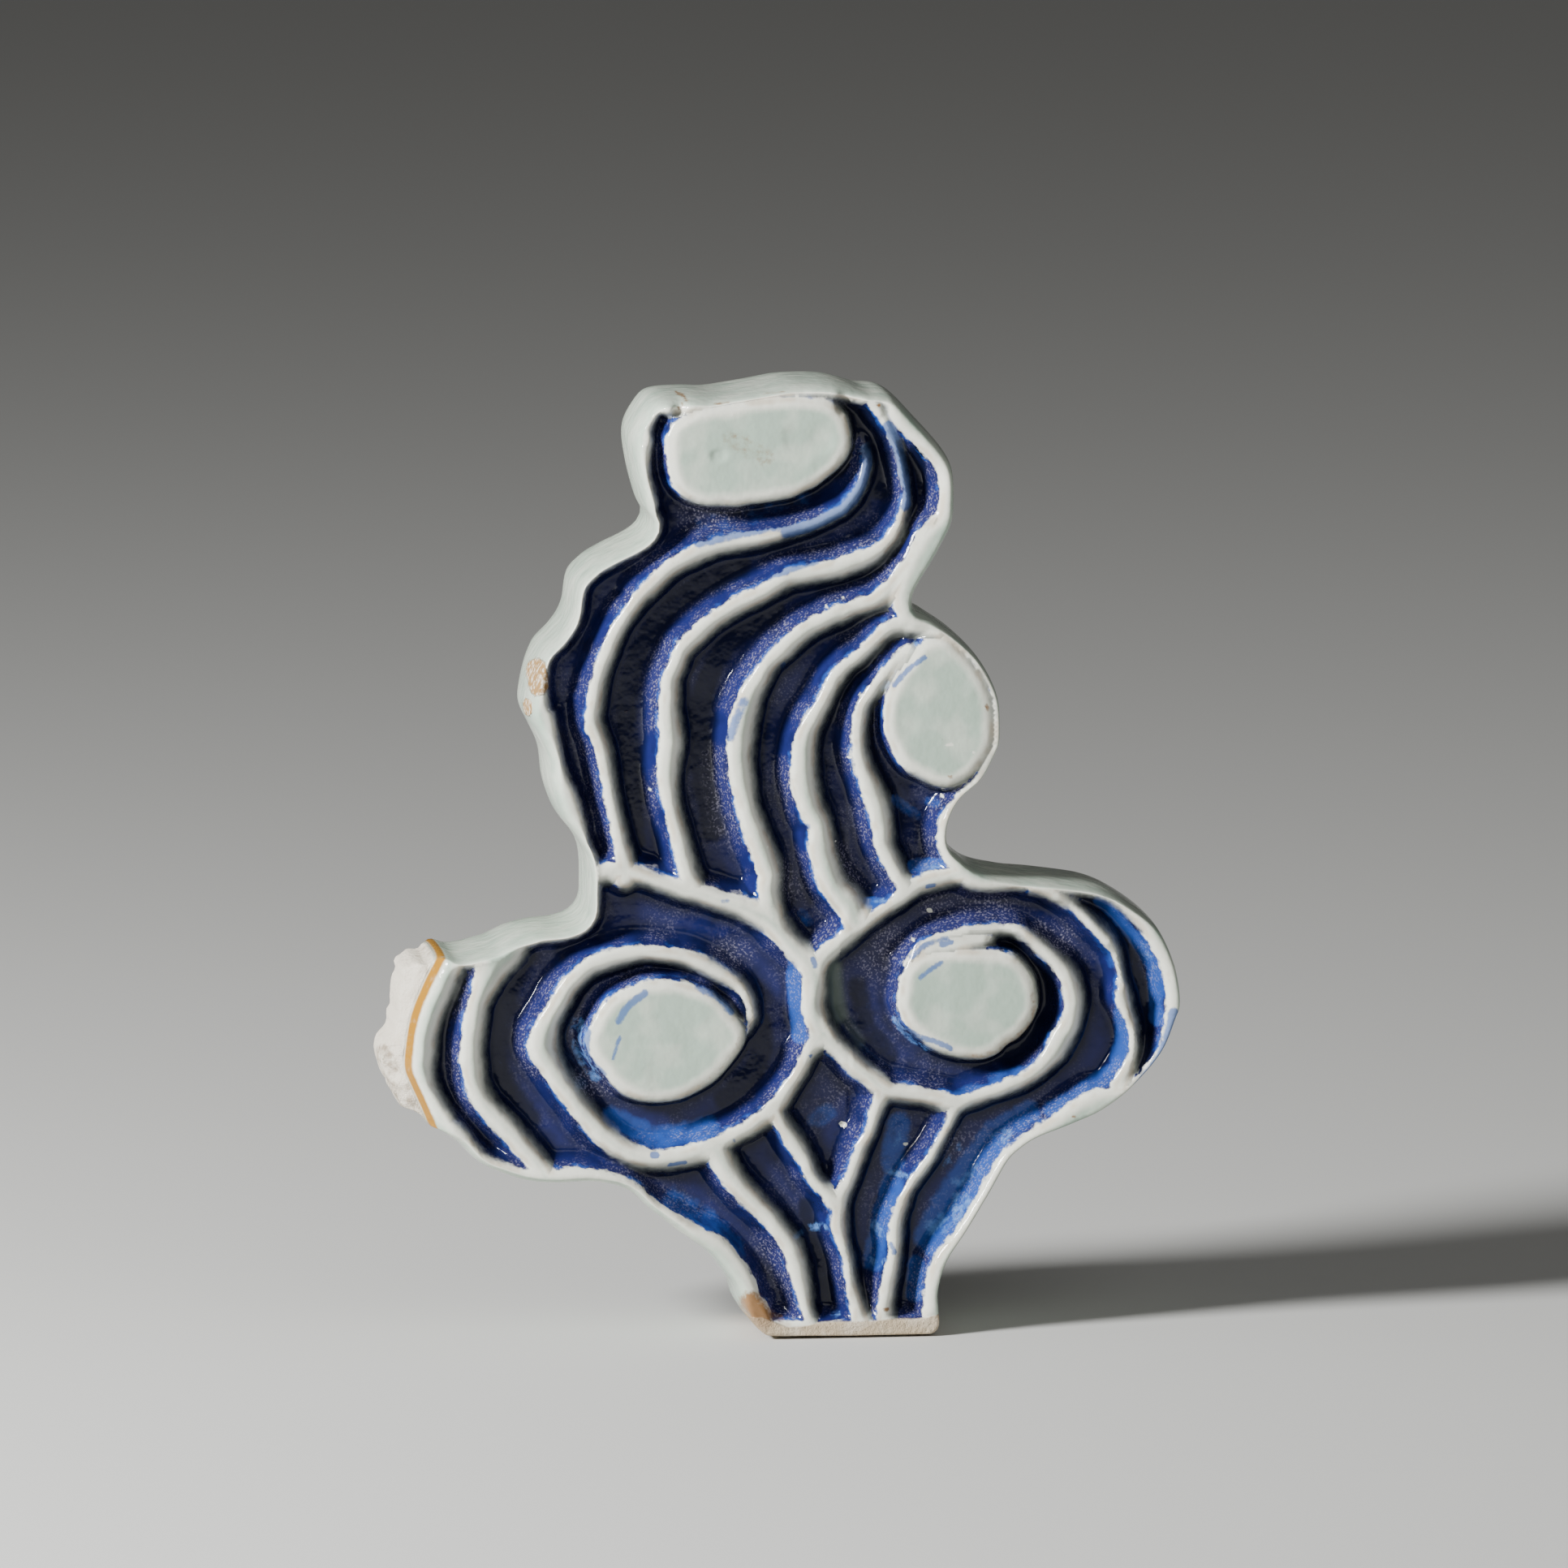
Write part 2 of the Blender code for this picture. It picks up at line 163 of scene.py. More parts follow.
# The outline, anticlockwise from the right end of the foot: across, up, how wide the white rim shows
# there, and how far the side swells.
RIGHT_SWELL = 0.7
TOP_SWELL = 1.1
LEFT_SWELL = 1.3
CUT_SWELL = 0.15
outline = [
    (0, 0.6, 0.5, CUT_SWELL), (5, 0.6, 0.5, CUT_SWELL), (8.6, 0.6, 0.7, CUT_SWELL),
    (10.3, 0.9, 1.2, CUT_SWELL), (11.3, 1.9, 1.5, 0.4), (11.9, 4, 1.6, RIGHT_SWELL),
    (12.1, 6, 1.6, RIGHT_SWELL), (13.2, 9, 1.6, RIGHT_SWELL), (15.5, 12.5, 1.1, RIGHT_SWELL),
    (18.2, 17, 1.1, RIGHT_SWELL), (20.5, 21, 1.1, RIGHT_SWELL), (22, 22.5, 1.0, RIGHT_SWELL),
    (24, 23.8, 1.2, RIGHT_SWELL), (28, 25.4, 2.3, RIGHT_SWELL), (32, 27.2, 2.7, RIGHT_SWELL),
    (36, 30.3, 0.6, RIGHT_SWELL), (39.5, 34.5, 0.5, RIGHT_SWELL), (41.4, 39.5, 1.35, RIGHT_SWELL),
    (41.6, 42, 1.7, RIGHT_SWELL), (40.5, 46.5, 1.7, RIGHT_SWELL), (38, 51, 2.1, RIGHT_SWELL),
    (34, 54.3, 1.85, RIGHT_SWELL), (30, 56.2, 1.65, RIGHT_SWELL), (25, 57.1, 2.2, RIGHT_SWELL),
    (20, 57.6, 3.2, RIGHT_SWELL), (15.5, 58.5, 3.7, RIGHT_SWELL), (13, 60.4, 1.2, RIGHT_SWELL),
    (13.2, 63, 1.15, RIGHT_SWELL), (14.5, 65.5, 0.5, RIGHT_SWELL), (17.3, 68.2, 0.8, RIGHT_SWELL),
    (19.1, 72, 0.8, RIGHT_SWELL), (19.4, 74.5, 0.8, RIGHT_SWELL), (18.8, 79, 0.8, RIGHT_SWELL),
    (16.5, 83.3, 1.0, RIGHT_SWELL), (13.5, 86.5, 1.6, RIGHT_SWELL), (10.5, 88.7, 2.0, RIGHT_SWELL),
    (8.5, 90.1, 2.2, TOP_SWELL), (9.75, 92.7, 2.6, TOP_SWELL), (11.1, 94.9, 2.9, TOP_SWELL),
    (12.4, 97.3, 3.0, TOP_SWELL), (13.4, 99.6, 2.2, TOP_SWELL), (13.7, 102, 1.9, TOP_SWELL),
    (13.4, 106, 1.7, TOP_SWELL), (12, 109, 2.1, TOP_SWELL), (8, 113.5, 2.6, TOP_SWELL),
    (5, 116.4, 2.6, TOP_SWELL), (2, 117, 2.8, TOP_SWELL), (-2, 118, 3.2, TOP_SWELL),
    (-5, 118.2, 3.4, TOP_SWELL), (-8, 118.1, 3.6, TOP_SWELL), (-12, 117.3, 3.4, TOP_SWELL),
    (-16, 116.6, 3.3, TOP_SWELL), (-20, 116.6, 4.2, TOP_SWELL), (-24, 116.2, 4.4, TOP_SWELL),
    (-26, 114.2, 4.4, TOP_SWELL), (-27.1, 111, 4.2, TOP_SWELL), (-26.5, 106.5, 2.8, TOP_SWELL),
    (-25.3, 102, 2.6, TOP_SWELL), (-25, 100.2, 2.3, TOP_SWELL), (-27, 98.6, 3.0, LEFT_SWELL),
    (-29.6, 97.2, 3.3, LEFT_SWELL), (-32.1, 95.7, 3.2, LEFT_SWELL), (-33.9, 93.5, 3.2, LEFT_SWELL),
    (-34.8, 89.6, 2.7, LEFT_SWELL), (-36.2, 87.3, 3.1, LEFT_SWELL), (-38.1, 85, 3.5, LEFT_SWELL),
    (-39.5, 81.5, 3.9, LEFT_SWELL), (-39.8, 77.5, 4.1, LEFT_SWELL), (-38.5, 74.6, 3.2, LEFT_SWELL),
    (-37.5, 72, 2.9, LEFT_SWELL), (-36.9, 68, 3.7, LEFT_SWELL), (-35.5, 64.5, 3.1, LEFT_SWELL),
    (-33.5, 61.7, 1.8, LEFT_SWELL), (-32.6, 59, 1.3, LEFT_SWELL), (-32.6, 55, 2.2, LEFT_SWELL),
    (-33.2, 52.6, 2.4, LEFT_SWELL), (-35.5, 51.4, 2.6, LEFT_SWELL), (-40, 50.5, 3.6, LEFT_SWELL),
    (-44, 49, 2.6, LEFT_SWELL), (-46.5, 47.4, 2.0, LEFT_SWELL), (-48.2, 47.0, 2.0, 0.6),
    (-50, 47.6, 2.0, 0.4), (-52, 47.2, 2.0, 0.4), (-54, 46, 2.0, 0.4), (-55.2, 43.5, 2.0, 0.4),
    (-55.4, 40.5, 2.0, 0.4), (-55.9, 38, 2.0, 0.4), (-57.2, 36, 2.0, 0.4), (-57.6, 34.5, 2.0, 0.4),
    (-57.4, 32.5, 2.0, 0.4), (-56.3, 30.2, 2.0, 0.4), (-54, 28, 2.0, 0.4), (-52, 26.3, 2.0, 0.4),
    (-50.4, 25.7, 1.8, 0.7), (-48, 24, 1.7, LEFT_SWELL), (-46, 22, 1.4, LEFT_SWELL),
    (-44, 20.6, 1.3, LEFT_SWELL), (-40, 19, 1.4, LEFT_SWELL), (-36, 18.4, 1.8, LEFT_SWELL),
    (-31, 18.5, 1.4, LEFT_SWELL), (-27, 17.7, 1.2, LEFT_SWELL), (-24, 15.3, 1.6, LEFT_SWELL),
    (-20, 12.2, 2.1, LEFT_SWELL), (-17, 10, 2.8, LEFT_SWELL), (-14.5, 6.7, 3.3, LEFT_SWELL),
    (-13.5, 4, 3.6, 1.1), (-12, 2, 2.8, 0.6), (-11, 1.0, 1.6, CUT_SWELL), (-9.8, 0.6, 0.8, CUT_SWELL),
    (-5, 0.6, 0.5, CUT_SWELL),
]

# The ridges: across and up along the crest, and how wide the white shows.
flame_ridges = {
    "outer": [
        (-26.4, 55.5, 2.4), (-26.6, 58.5, 2.3), (-26.9, 60, 2.0), (-27.9, 64, 1.7), (-28.6, 68, 1.7),
        (-29.4, 72, 1.9), (-30.3, 75, 2.1), (-30.1, 78, 2.0), (-29, 82, 2.0), (-27.4, 86, 2.0),
        (-24.6, 90, 2.0), (-22.4, 92.2, 2.2), (-19.6, 94.5, 2.3), (-15.5, 96.2, 2.3), (-10, 97.4, 2.0),
        (-6.7, 98.2, 1.5), (-4, 99, 1.3), (-1, 100.3, 1.3), (1, 101.6, 1.4), (2.2, 103.4, 1.3),
        (2.9, 105.6, 1.1), (3, 107, 0.9), (2.9, 108.4, 0.3),
    ],
    "second": [
        (-18.2, 55, 2.4), (-19.1, 58, 2.4), (-20.2, 62, 2.2), (-21, 66, 2.2), (-21.2, 68.5, 2.9),
        (-20.8, 72, 2.9), (-20.9, 74, 2.9), (-21.1, 77, 2.6), (-20.8, 80, 2.4), (-20, 82, 2.4),
        (-19, 84, 2.4), (-17, 86, 2.4), (-14.5, 88, 2.3), (-12, 89.5, 2.4), (-10, 90.5, 2.4),
        (-8, 91.6, 2.3), (-6, 92.6, 2.3), (-4, 93, 2.2), (-2, 93.4, 2.3), (0, 93.8, 2.4), (3, 94.8, 2.4),
        (5, 96, 1.9), (6, 97.1, 1.8), (7, 98.8, 1.5), (7.5, 100.2, 1.1), (8, 102, 0.9), (7.85, 104, 0.8),
        (7.5, 106, 0.8), (6.7, 109, 0.8), (6.1, 110.2, 0.9), (5.4, 111.6, 1.1), (4.9, 112.6, 1.3),
        (4.2, 113.7, 1.6), (3.4, 115, 1.6),
    ],
    "middle": [
        (-8.4, 51, 3.0), (-8.8, 54, 3.0), (-8.6, 56, 2.8), (-9.3, 58, 2.9), (-10, 60, 2.9),
        (-11.3, 64, 2.7), (-12.2, 68, 3.1), (-12.35, 71, 3.2), (-12, 74, 3.4), (-11.7, 76, 3.5),
        (-11.1, 78, 3.0), (-9.9, 80, 2.6), (-8.7, 82, 2.3), (-6.7, 84, 2.5), (-4, 86.3, 2.4),
        (-2, 87.2, 2.3), (0, 88.2, 2.4), (2, 88.9, 2.1), (4, 89.5, 2.1), (5.2, 90.3, 2.3),
        (6.4, 91.6, 2.2), (7.5, 93, 2.2), (8.8, 94.6, 2.1), (9.5, 96.2, 2.1), (10, 97.6, 1.9),
        (10.8, 98.8, 1.4), (11.6, 99.8, 1.0),
    ],
    "inner": [
        (1.9, 50.5, 3.4), (1.4, 52, 3.8), (-0.3, 54, 3.5), (-1.3, 56, 3.3), (-1.95, 58, 3.2),
        (-2.35, 60, 3.3), (-2.6, 62, 3.0), (-3.6, 64, 3.0), (-4.2, 66, 3.2), (-4.5, 68, 3.3),
        (-4.55, 70, 3.2), (-4.4, 72, 3.0), (-3.9, 74, 2.7), (-2.8, 76, 2.2), (-1.7, 78, 2.0),
        (-0.7, 80, 1.9), (0.6, 81.5, 1.8), (2, 82.7, 1.8), (4, 84.4, 1.9), (5.2, 85.6, 2.1),
        (6.3, 86.4, 2.3), (8, 86.8, 2.5), (10, 86.6, 2.4), (11.8, 86.1, 2.2),
    ],
    "beside_boss": [
        (8.4, 83.8, 1.4), (6.6, 82, 1.8), (5.1, 80, 1.7), (3.9, 78.5, 1.7), (2.9, 77, 1.8),
        (2.3, 75, 1.8), (2.1, 73, 1.9), (2.2, 71, 2.0), (2.8, 69, 2.2), (3.6, 67, 2.5), (4.6, 64.5, 2.8),
        (5, 62, 2.7), (5.3, 60, 2.5), (6.2, 58, 2.2), (7.1, 56, 1.9), (8, 54.3, 1.9),
    ],
}
band_ridges = {
    "left_band": [
        (-32, 56.2, 2.4), (-30, 56.3, 2.4), (-26.5, 56.5, 2.3), (-23, 55.5, 1.9), (-20.5, 54.6, 2.2),
        (-17, 53.7, 2.6), (-14, 52.7, 2.6), (-11.5, 51.9, 2.8), (-8.5, 50.3, 3.2), (-6.4, 47.9, 2.9),
        (-5, 46.4, 2.9), (-3.6, 44.8, 3.0), (-3.2, 42, 3.1), (-3.3, 40, 3.1), (-3, 38, 3.0),
        (-2.4, 36.3, 2.6),
    ],
    "right_band": [
        (-3, 44.6, 2.6), (-1.5, 46.5, 2.6), (0.5, 48.2, 2.4), (2.2, 49.6, 2.0), (4.2, 50.9, 1.7),
        (7, 52.9, 2.0), (9.4, 54.7, 2.3), (12.8, 55.7, 2.4), (15.5, 56.5, 2.6), (19, 56.6, 2.6),
    ],
}
scroll_ridges = {
    "left_scroll": [
        (-11.4, 36.8, 0.6), (-10.9, 38.5, 1.0), (-11.2, 40.5, 1.2), (-12.2, 42.3, 1.4), (-13.6, 43.4, 1.6),
        (-15.4, 44.3, 1.9), (-17.5, 45.4, 2.1), (-20, 46.1, 2.1), (-24, 46.5, 2.1), (-27.5, 45.9, 2.2),
        (-30.9, 44.7, 2.3), (-32.9, 42.8, 2.4), (-34.2, 40.9, 2.6), (-35.5, 38.5, 3.0), (-36.5, 36, 3.8),
        (-36.4, 34.2, 3.6), (-35.3, 32, 3.0), (-33.6, 29.5, 2.7), (-31.8, 27, 2.6), (-29, 23.8, 2.6),
        (-26.9, 22.3, 2.4), (-24.6, 21.4, 2.5), (-22.3, 21.1, 2.3), (-19.2, 21.4, 2.6), (-15.8, 22.6, 2.4),
        (-12.3, 24.3, 2.1), (-10.1, 25.6, 2.2), (-8.3, 27.3, 2.2), (-7, 28.8, 2.1), (-5.25, 31.3, 1.8),
        (-4.4, 33, 1.8), (-3.6, 34.6, 2.1), (-2.5, 36.3, 2.8),
    ],
    "right_tongue": [(10.2, 46.6, 1.6), (12.6, 47.6, 2.2), (15.6, 48.1, 2.0), (18.4, 48.2, 1.0)],
    "right_scroll": [
        (8, 45.2, 0.7), (9.6, 46.8, 1.2), (11.6, 48, 1.4), (14, 48.9, 1.4), (17, 49.4, 1.2),
        (19.6, 49.3, 1.1), (21.7, 49.1, 1.2), (23.3, 48.2, 1.4), (24.7, 47.1, 1.6), (26.4, 45.6, 1.9),
        (28, 43.7, 2.2), (28.6, 41.6, 2.5), (28.7, 39.4, 2.6), (28.3, 37.6, 2.8), (27.3, 35.8, 3.0),
        (26.3, 34, 2.8), (24.9, 32.5, 2.3), (22.8, 31, 2.0), (20.2, 29.9, 2.0), (18, 29.1, 1.9),
        (15.8, 28.3, 1.9), (14.2, 27.9, 2.0), (12.4, 28.4, 2.0), (10.2, 28.9, 2.1), (8, 29.2, 2.3),
        (6, 29.5, 2.4), (4.1, 30.6, 2.4), (2.2, 32.2, 2.4), (0.4, 33.9, 2.3), (-1.2, 35.5, 2.6),
        (-2.2, 36.7, 2.8),
    ],
}
lobe_ridges = {
    "left_lobe": [
        (-41.4, 47, 5.9), (-42.7, 44.6, 4.6), (-43.8, 42, 3.3), (-44.5, 40, 2.8), (-44.9, 38, 2.8),
        (-45.25, 35, 2.8), (-45.15, 32, 2.9), (-44.8, 30, 2.7), (-43.8, 28, 2.6), (-42.3, 26.2, 2.6),
        (-40.2, 24, 2.6), (-38.4, 22, 2.5), (-37, 20.3, 2.4), (-36.4, 19, 2.4),
    ],
    "arm_root": [
        (-46.8, 47.2, 3.0), (-47.7, 46, 3.4), (-48.5, 44, 3.7), (-49.3, 42, 3.9), (-50.2, 40, 3.8),
        (-50.8, 38, 3.9), (-51.3, 36, 3.7), (-51.5, 34, 3.6), (-51.5, 32, 3.3), (-51, 30, 2.9),
        (-50.1, 28, 2.6), (-49, 26, 2.6), (-47.6, 24.4, 2.0),
    ],
    "right_lobe": [
        (23.8, 54.9, 2.4), (25.6, 54.1, 1.6), (27.4, 53.1, 1.2), (29, 51.9, 1.1), (31, 50, 1.3),
        (32.6, 48.3, 1.4), (33.8, 46.5, 0.9), (34.3, 44.8, 0.8), (34.6, 43.2, 0.9), (34.8, 41, 1.8),
        (35.3, 39.3, 1.4), (35.9, 37.6, 1.2), (36.2, 35.5, 1.3), (35.9, 33.4, 1.5), (35.2, 31.6, 1.9),
        (34.4, 29.9, 2.2),
    ],
}
stem_ridges = {
    "stem_first": [
        (-15.6, 22.6, 2.6), (-14.6, 21, 3.0), (-13.2, 18.6, 2.7), (-11.7, 16.8, 2.5), (-10.2, 15.4, 2.4),
        (-8.2, 13.3, 2.3), (-6.9, 11.4, 2.4), (-6.1, 10, 2.4), (-5.5, 8.2, 2.3), (-5, 6.5, 2.3),
        (-4.6, 4.9, 2.1), (-4.2, 3.1, 1.7), (-3.8, 1.3, 1.6), (-3.5, -2, 1.8),
    ],
    "stem_second": [
        (-8, 27, 1.8), (-7.2, 25.6, 1.8), (-6, 23.6, 2.2), (-5.1, 22.2, 2.2), (-4.2, 20.7, 1.9),
        (-3.5, 19.1, 1.7), (-2.7, 17.9, 1.6), (-1.8, 16.9, 1.8), (-0.6, 15.6, 1.9),
    ],
    "stem_third": [
        (5.2, 29.8, 2.0), (4.8, 28, 1.9), (4.2, 26.3, 1.7), (3.6, 24.6, 1.5), (3, 23.2, 1.5),
        (2.2, 21.3, 1.8), (1.5, 19.4, 1.9), (0.8, 17.8, 2.0), (0.1, 16.2, 2.3), (-0.15, 14.5, 2.1),
        (-0.2, 12.6, 2.0), (0.1, 11.2, 1.6), (0.4, 9.9, 1.3), (0.8, 8.3, 1.2), (1.2, 6.3, 1.4),
        (1.6, 4.3, 1.6), (2.1, 2.6, 1.8), (2.4, 1.2, 2.3), (3, -2, 2.3),
    ],
    "stem_fourth": [
        (14, 28, 2.0), (13.7, 26.5, 1.6), (13.1, 24.7, 1.2), (12.2, 23, 1.1), (11.3, 21.4, 1.3),
        (10.2, 19.8, 1.4), (9.1, 18.4, 1.4), (8.3, 17.1, 1.3), (7.6, 15.5, 1.5), (6.95, 13.6, 1.8),
        (6.7, 12, 2.0), (6.8, 10.2, 1.7), (6.5, 8, 1.8), (6.05, 6, 2.0), (5.7, 4, 2.1), (5.5, 2, 2.2),
        (5.5, -2, 2.2),
    ],
}
front_ridges = {**flame_ridges, **band_ridges, **scroll_ridges, **lobe_ridges, **stem_ridges}

# The back is plainer: it has only these
back_ridges = {
    name: front_ridges[name]
    for name in ("outer", "second", "inner", "left_band", "right_band", "stem_first", "stem_third")
}

# The flat bosses, each by the line round its edge
bosses = {
    "left": [
        (-31.3, 35.3), (-30.7, 38), (-28.3, 41.3), (-24.5, 43), (-20.4, 43.1), (-16.2, 41.8),
        (-13.2, 39.2), (-11.9, 36.2), (-13.5, 33.3), (-16.8, 30.1), (-21, 28.4), (-25.4, 28.7),
        (-28.9, 31.2),
    ],
    "right": [
        (7.0, 40.1), (7.1, 42), (7.5, 44), (8.3, 45.4), (9.8, 46.5), (13.2, 47.1), (16.6, 47.2),
        (20.3, 46.6), (21.9, 45.7), (23.1, 44.5), (23.9, 42.8), (24.1, 41), (23.9, 39.3), (23.2, 37.7),
        (22.2, 36.4), (20.3, 35.2), (18.8, 34.1), (16.1, 33.6), (13.4, 34), (11, 35), (9.1, 36.4),
        (7.7, 37.8),
    ],
    "shoulder": [
        (5.2, 76.5), (5.55, 73), (7.3, 69.7), (10.2, 67.7), (13.4, 66.9), (16.5, 68.8), (18.3, 71.6),
        (18.7, 74.8), (18.1, 79.2), (16, 82.3), (13.2, 85.3), (10.8, 85.2), (9, 84), (7.6, 82),
        (6.3, 80), (5.4, 78),
    ],
    "top": [
        (-21.4, 107.5), (-20.7, 104), (-18.4, 102), (-13.7, 101.35), (-8.1, 102.1), (-4.5, 103.2),
        (-1, 105.5), (0.7, 107.8), (1.1, 110), (0.4, 112.5), (-1.6, 114.3), (-5.1, 114.75),
        (-11, 114.25), (-16.3, 113.5), (-20, 111.9), (-21.2, 110),
    ],
}

# Creases, dimples and the chip: half width, depth, then the points along each
front_dents = [
    (0.7, 1.1, (-20.4, 116.6), (-19.1, 115), (-20, 112.9)),
    (1.5, 1.1, (-26.6, 109.4), (-22.6, 111.7)),
    (1.7, 0.9, (-17.6, 116), (-10, 116.9), (-3, 117)),
    (0.9, 0.7, (0.3, 113.4), (0.6, 114.9)),
    (0.5, 0.5, (1.6, 116.2), (1.9, 114.4)),
    (0.4, 0.25, (-16, 113.8), (-9, 115.1), (-4, 115.4)),
    (0.8, 0.2, (-15.3, 107.6), (-14.8, 107.6)),
    (1.5, 0.18, (-6, 110), (-2.5, 109)),
    (1.0, 0.7, (-37.4, 81.3), (-37, 79.8)),
    (0.45, 0.35, (-38.5, 77.1), (-38.5, 76.5)),
    (0.35, 0.3, (-1.3, 81.6), (-1.1, 81.6)),
    (0.6, 0.25, (-27.3, 90.5), (-26.7, 90.5)),
    (0.3, 0.35, (0.5, 25), (0.7, 25)),
]

# The broken arm: the line where its glaze ends, downwards, how far forward that lies, how steeply the
# broken face falls back, and over what width the glazed rim rounds down to it.
glaze_end = [
    (-48.6, 47.6), (-49.2, 46.5), (-51, 43), (-52.6, 39), (-53.3, 35), (-53.4, 32.5), (-52.6, 30.4),
    (-51.3, 27.5), (-50.2, 24.8),
]
BREAK_FORWARD = 7.4
BREAK_SLANT = 0.95
RIM_ROUNDS_OVER = 3.4

# A ridge: how much its crest is rounded, from what share of its width its side falls, and how far out it
# reaches the groove. Its lit side is steeper at the top and runs out a little farther.
CREST_ROUNDED = 0.06
SIDE_FALLS_FROM = 0.36
LIT_SIDE_STEEPER = 0.2
SIDE_REACHES = 1.7
LIT_SIDE_FARTHER = 0.3
THIN_RIDGE = 1.3


def inside(loop, points):
    """Which points are inside the closed loop."""
    odd = np.zeros(len(points), bool)
    for (ax, az), (bx, bz) in zip(loop, np.roll(loop, -1, axis=0)):
        if az != bz:
            spans = (points[:, 1] > az) != (points[:, 1] > bz)
            odd ^= spans & (points[:, 0] < ax + (bx - ax) * (points[:, 1] - az) / (bz - az))
    return odd


def ridge_rise(past_edge, width, lit):
    """How high a ridge stands, from 1 on its crest to 0 in the groove. A thin one stands lower."""
    crest = 1 - CREST_ROUNDED * np.clip(1 + 2 * past_edge / np.maximum(width, 0.5), 0, 1) ** 2
    falls_from = -(SIDE_FALLS_FROM - LIT_SIDE_STEEPER * lit) * width
    rise = crest * (1 - eased(past_edge, falls_from, SIDE_REACHES + LIT_SIDE_FARTHER * lit))
    return rise * np.clip(width / THIN_RIDGE, 0, 1)


def daubed(drawn, strokes):
    """How strongly each drawn point is covered by the strokes: half width, strength, then its points."""
    cover = np.zeros(len(drawn))
    for half_width, strength, *knots in strokes:
        off, _, _ = nearest(flowing(knots), drawn)
        cover = np.maximum(cover, strength * (1 - eased(off, 0.35 * half_width, 1.3 * half_width)))
    return cover


def hand_waver(drawn, waver):
    """The drawn points as an unsteady hand would set them: a slow waver, and then a quick one."""
    drawn = drawn + 0.12 * waver * np.column_stack([wobble(drawn, 3.1, 11), wobble(drawn, 3.4, 12)])
    return drawn + 0.07 * waver * np.column_stack([wobble(drawn, 1.5, 13), wobble(drawn, 1.6, 14)])


def carved(cut, ridges, dents, deep, wider_rim, waver):
    """How far forward the face stands, how far off each point is from the white, and if its side is lit."""
    drawn = hand_waver(as_drawn(cut, HALF_THICK), waver)
    rim_off, rim_lit, (rim_wide,) = nearest(rim_line, cut)
    rim_edge = rim_off - (rim_wide + wider_rim)
    from_white = rim_edge
    # Low on the stem the rim's edge counts as lit, for the painted light and shade there.
    beside_stem = 1 - eased(drawn[:, 1], 14, 24)
    lit = np.maximum(rim_lit, 0.7 * beside_stem - 0.1)

    sunk = eased(rim_edge, -0.6, SIDE_REACHES + LIT_SIDE_FARTHER * rim_lit)
    for knots in ridges.values():
        off, side_lit, (width,) = nearest(flowing(knots), drawn)
        past_edge = off - width / 2
        lit = np.where(past_edge < from_white, side_lit, lit)
        from_white = np.minimum(from_white, past_edge)
        sunk = sunk * (1 - ridge_rise(past_edge, width, side_lit))
    floor = HALF_THICK - deep + 0.18 * wobble(cut, 6, 15)
    crest = HALF_THICK - RIDGE_LOW + 0.1 * wobble(cut, 5, 16)
    forward = floor + (crest - floor) * (1 - sunk)
    rim = 1 - eased(rim_edge, -1.2, 0.4)
    forward = forward + RIDGE_LOW * rim * (1 - sunk)

    for number, knots in enumerate(bosses.values()):
        loop = flowing(knots, closed=True)
        off, side_lit, _ = nearest(np.vstack([loop, loop[:1]]), drawn)
        within = inside(loop, drawn)
        past_edge = np.where(within, -off, off)
        rounded = 0.4 * eased(past_edge, -1.3, 0.1)
        top = HALF_THICK + BOSS_PROUD - rounded + 0.08 * wobble(cut, 3.4, 20 + number)
        stands = 1 - eased(past_edge, -0.1, 1.0)
        forward = forward * (1 - stands) + np.maximum(top, forward) * stands
        side_lit = np.where(within, -side_lit, side_lit)
        lit = np.where(past_edge < from_white, side_lit, lit)
        from_white = np.minimum(from_white, past_edge)

    for half_width, depth, *knots in dents:
        forward = forward - depth * daubed(drawn, [(half_width, 1, *knots)])
    return forward, from_white, lit * (1 - eased(from_white, 0.4, 2.0))


def past_glaze(drawn):
    """How far each drawn point lies out past the end of the glaze on the broken arm."""
    line = flowing(glaze_end)
    off, _, _ = nearest(line, drawn)
    return np.where(drawn[:, 0] < np.interp(drawn[:, 1], line[::-1, 1], line[::-1, 0]), off, -off)


def broken_off(cut, forward):
    """Rounds the rim over to the end of the glaze and lets the broken arm fall back past it."""
    past = past_glaze(as_drawn(cut, BREAK_FORWARD))
    near_end = np.clip((past + RIM_ROUNDS_OVER) / RIM_ROUNDS_OVER, 0, 1)
    rounded = BREAK_FORWARD + (HALF_THICK - BREAK_FORWARD) * np.sqrt(np.maximum(1 - near_end ** 2, 0))
    rough = 0.5 * wobble(cut, 2.6, 31) + 0.3 * wobble(cut, 1.2, 32) + 0.12 * wobble(cut, 0.6, 33)
    fallen = BREAK_FORWARD - BREAK_SLANT * past + rough * eased(past, 0.2, 1.2)
    near = eased(past, -RIM_ROUNDS_OVER - 0.6, -RIM_ROUNDS_OVER + 0.4)
    forward = forward * (1 - near) + np.minimum(forward, rounded) * near
    return np.where(past > 0, fallen, forward), past


def honeycomb(low, high, every):
    """Points spread over a rectangle like the cells of a honeycomb."""
    across = np.arange(low[0], high[0], every)
    up = np.arange(low[1], high[1], every * math.sqrt(0.75))
    x, z = np.meshgrid(across, up)
    x[1::2] += every / 2
    return np.column_stack([x.ravel(), z.ravel()])


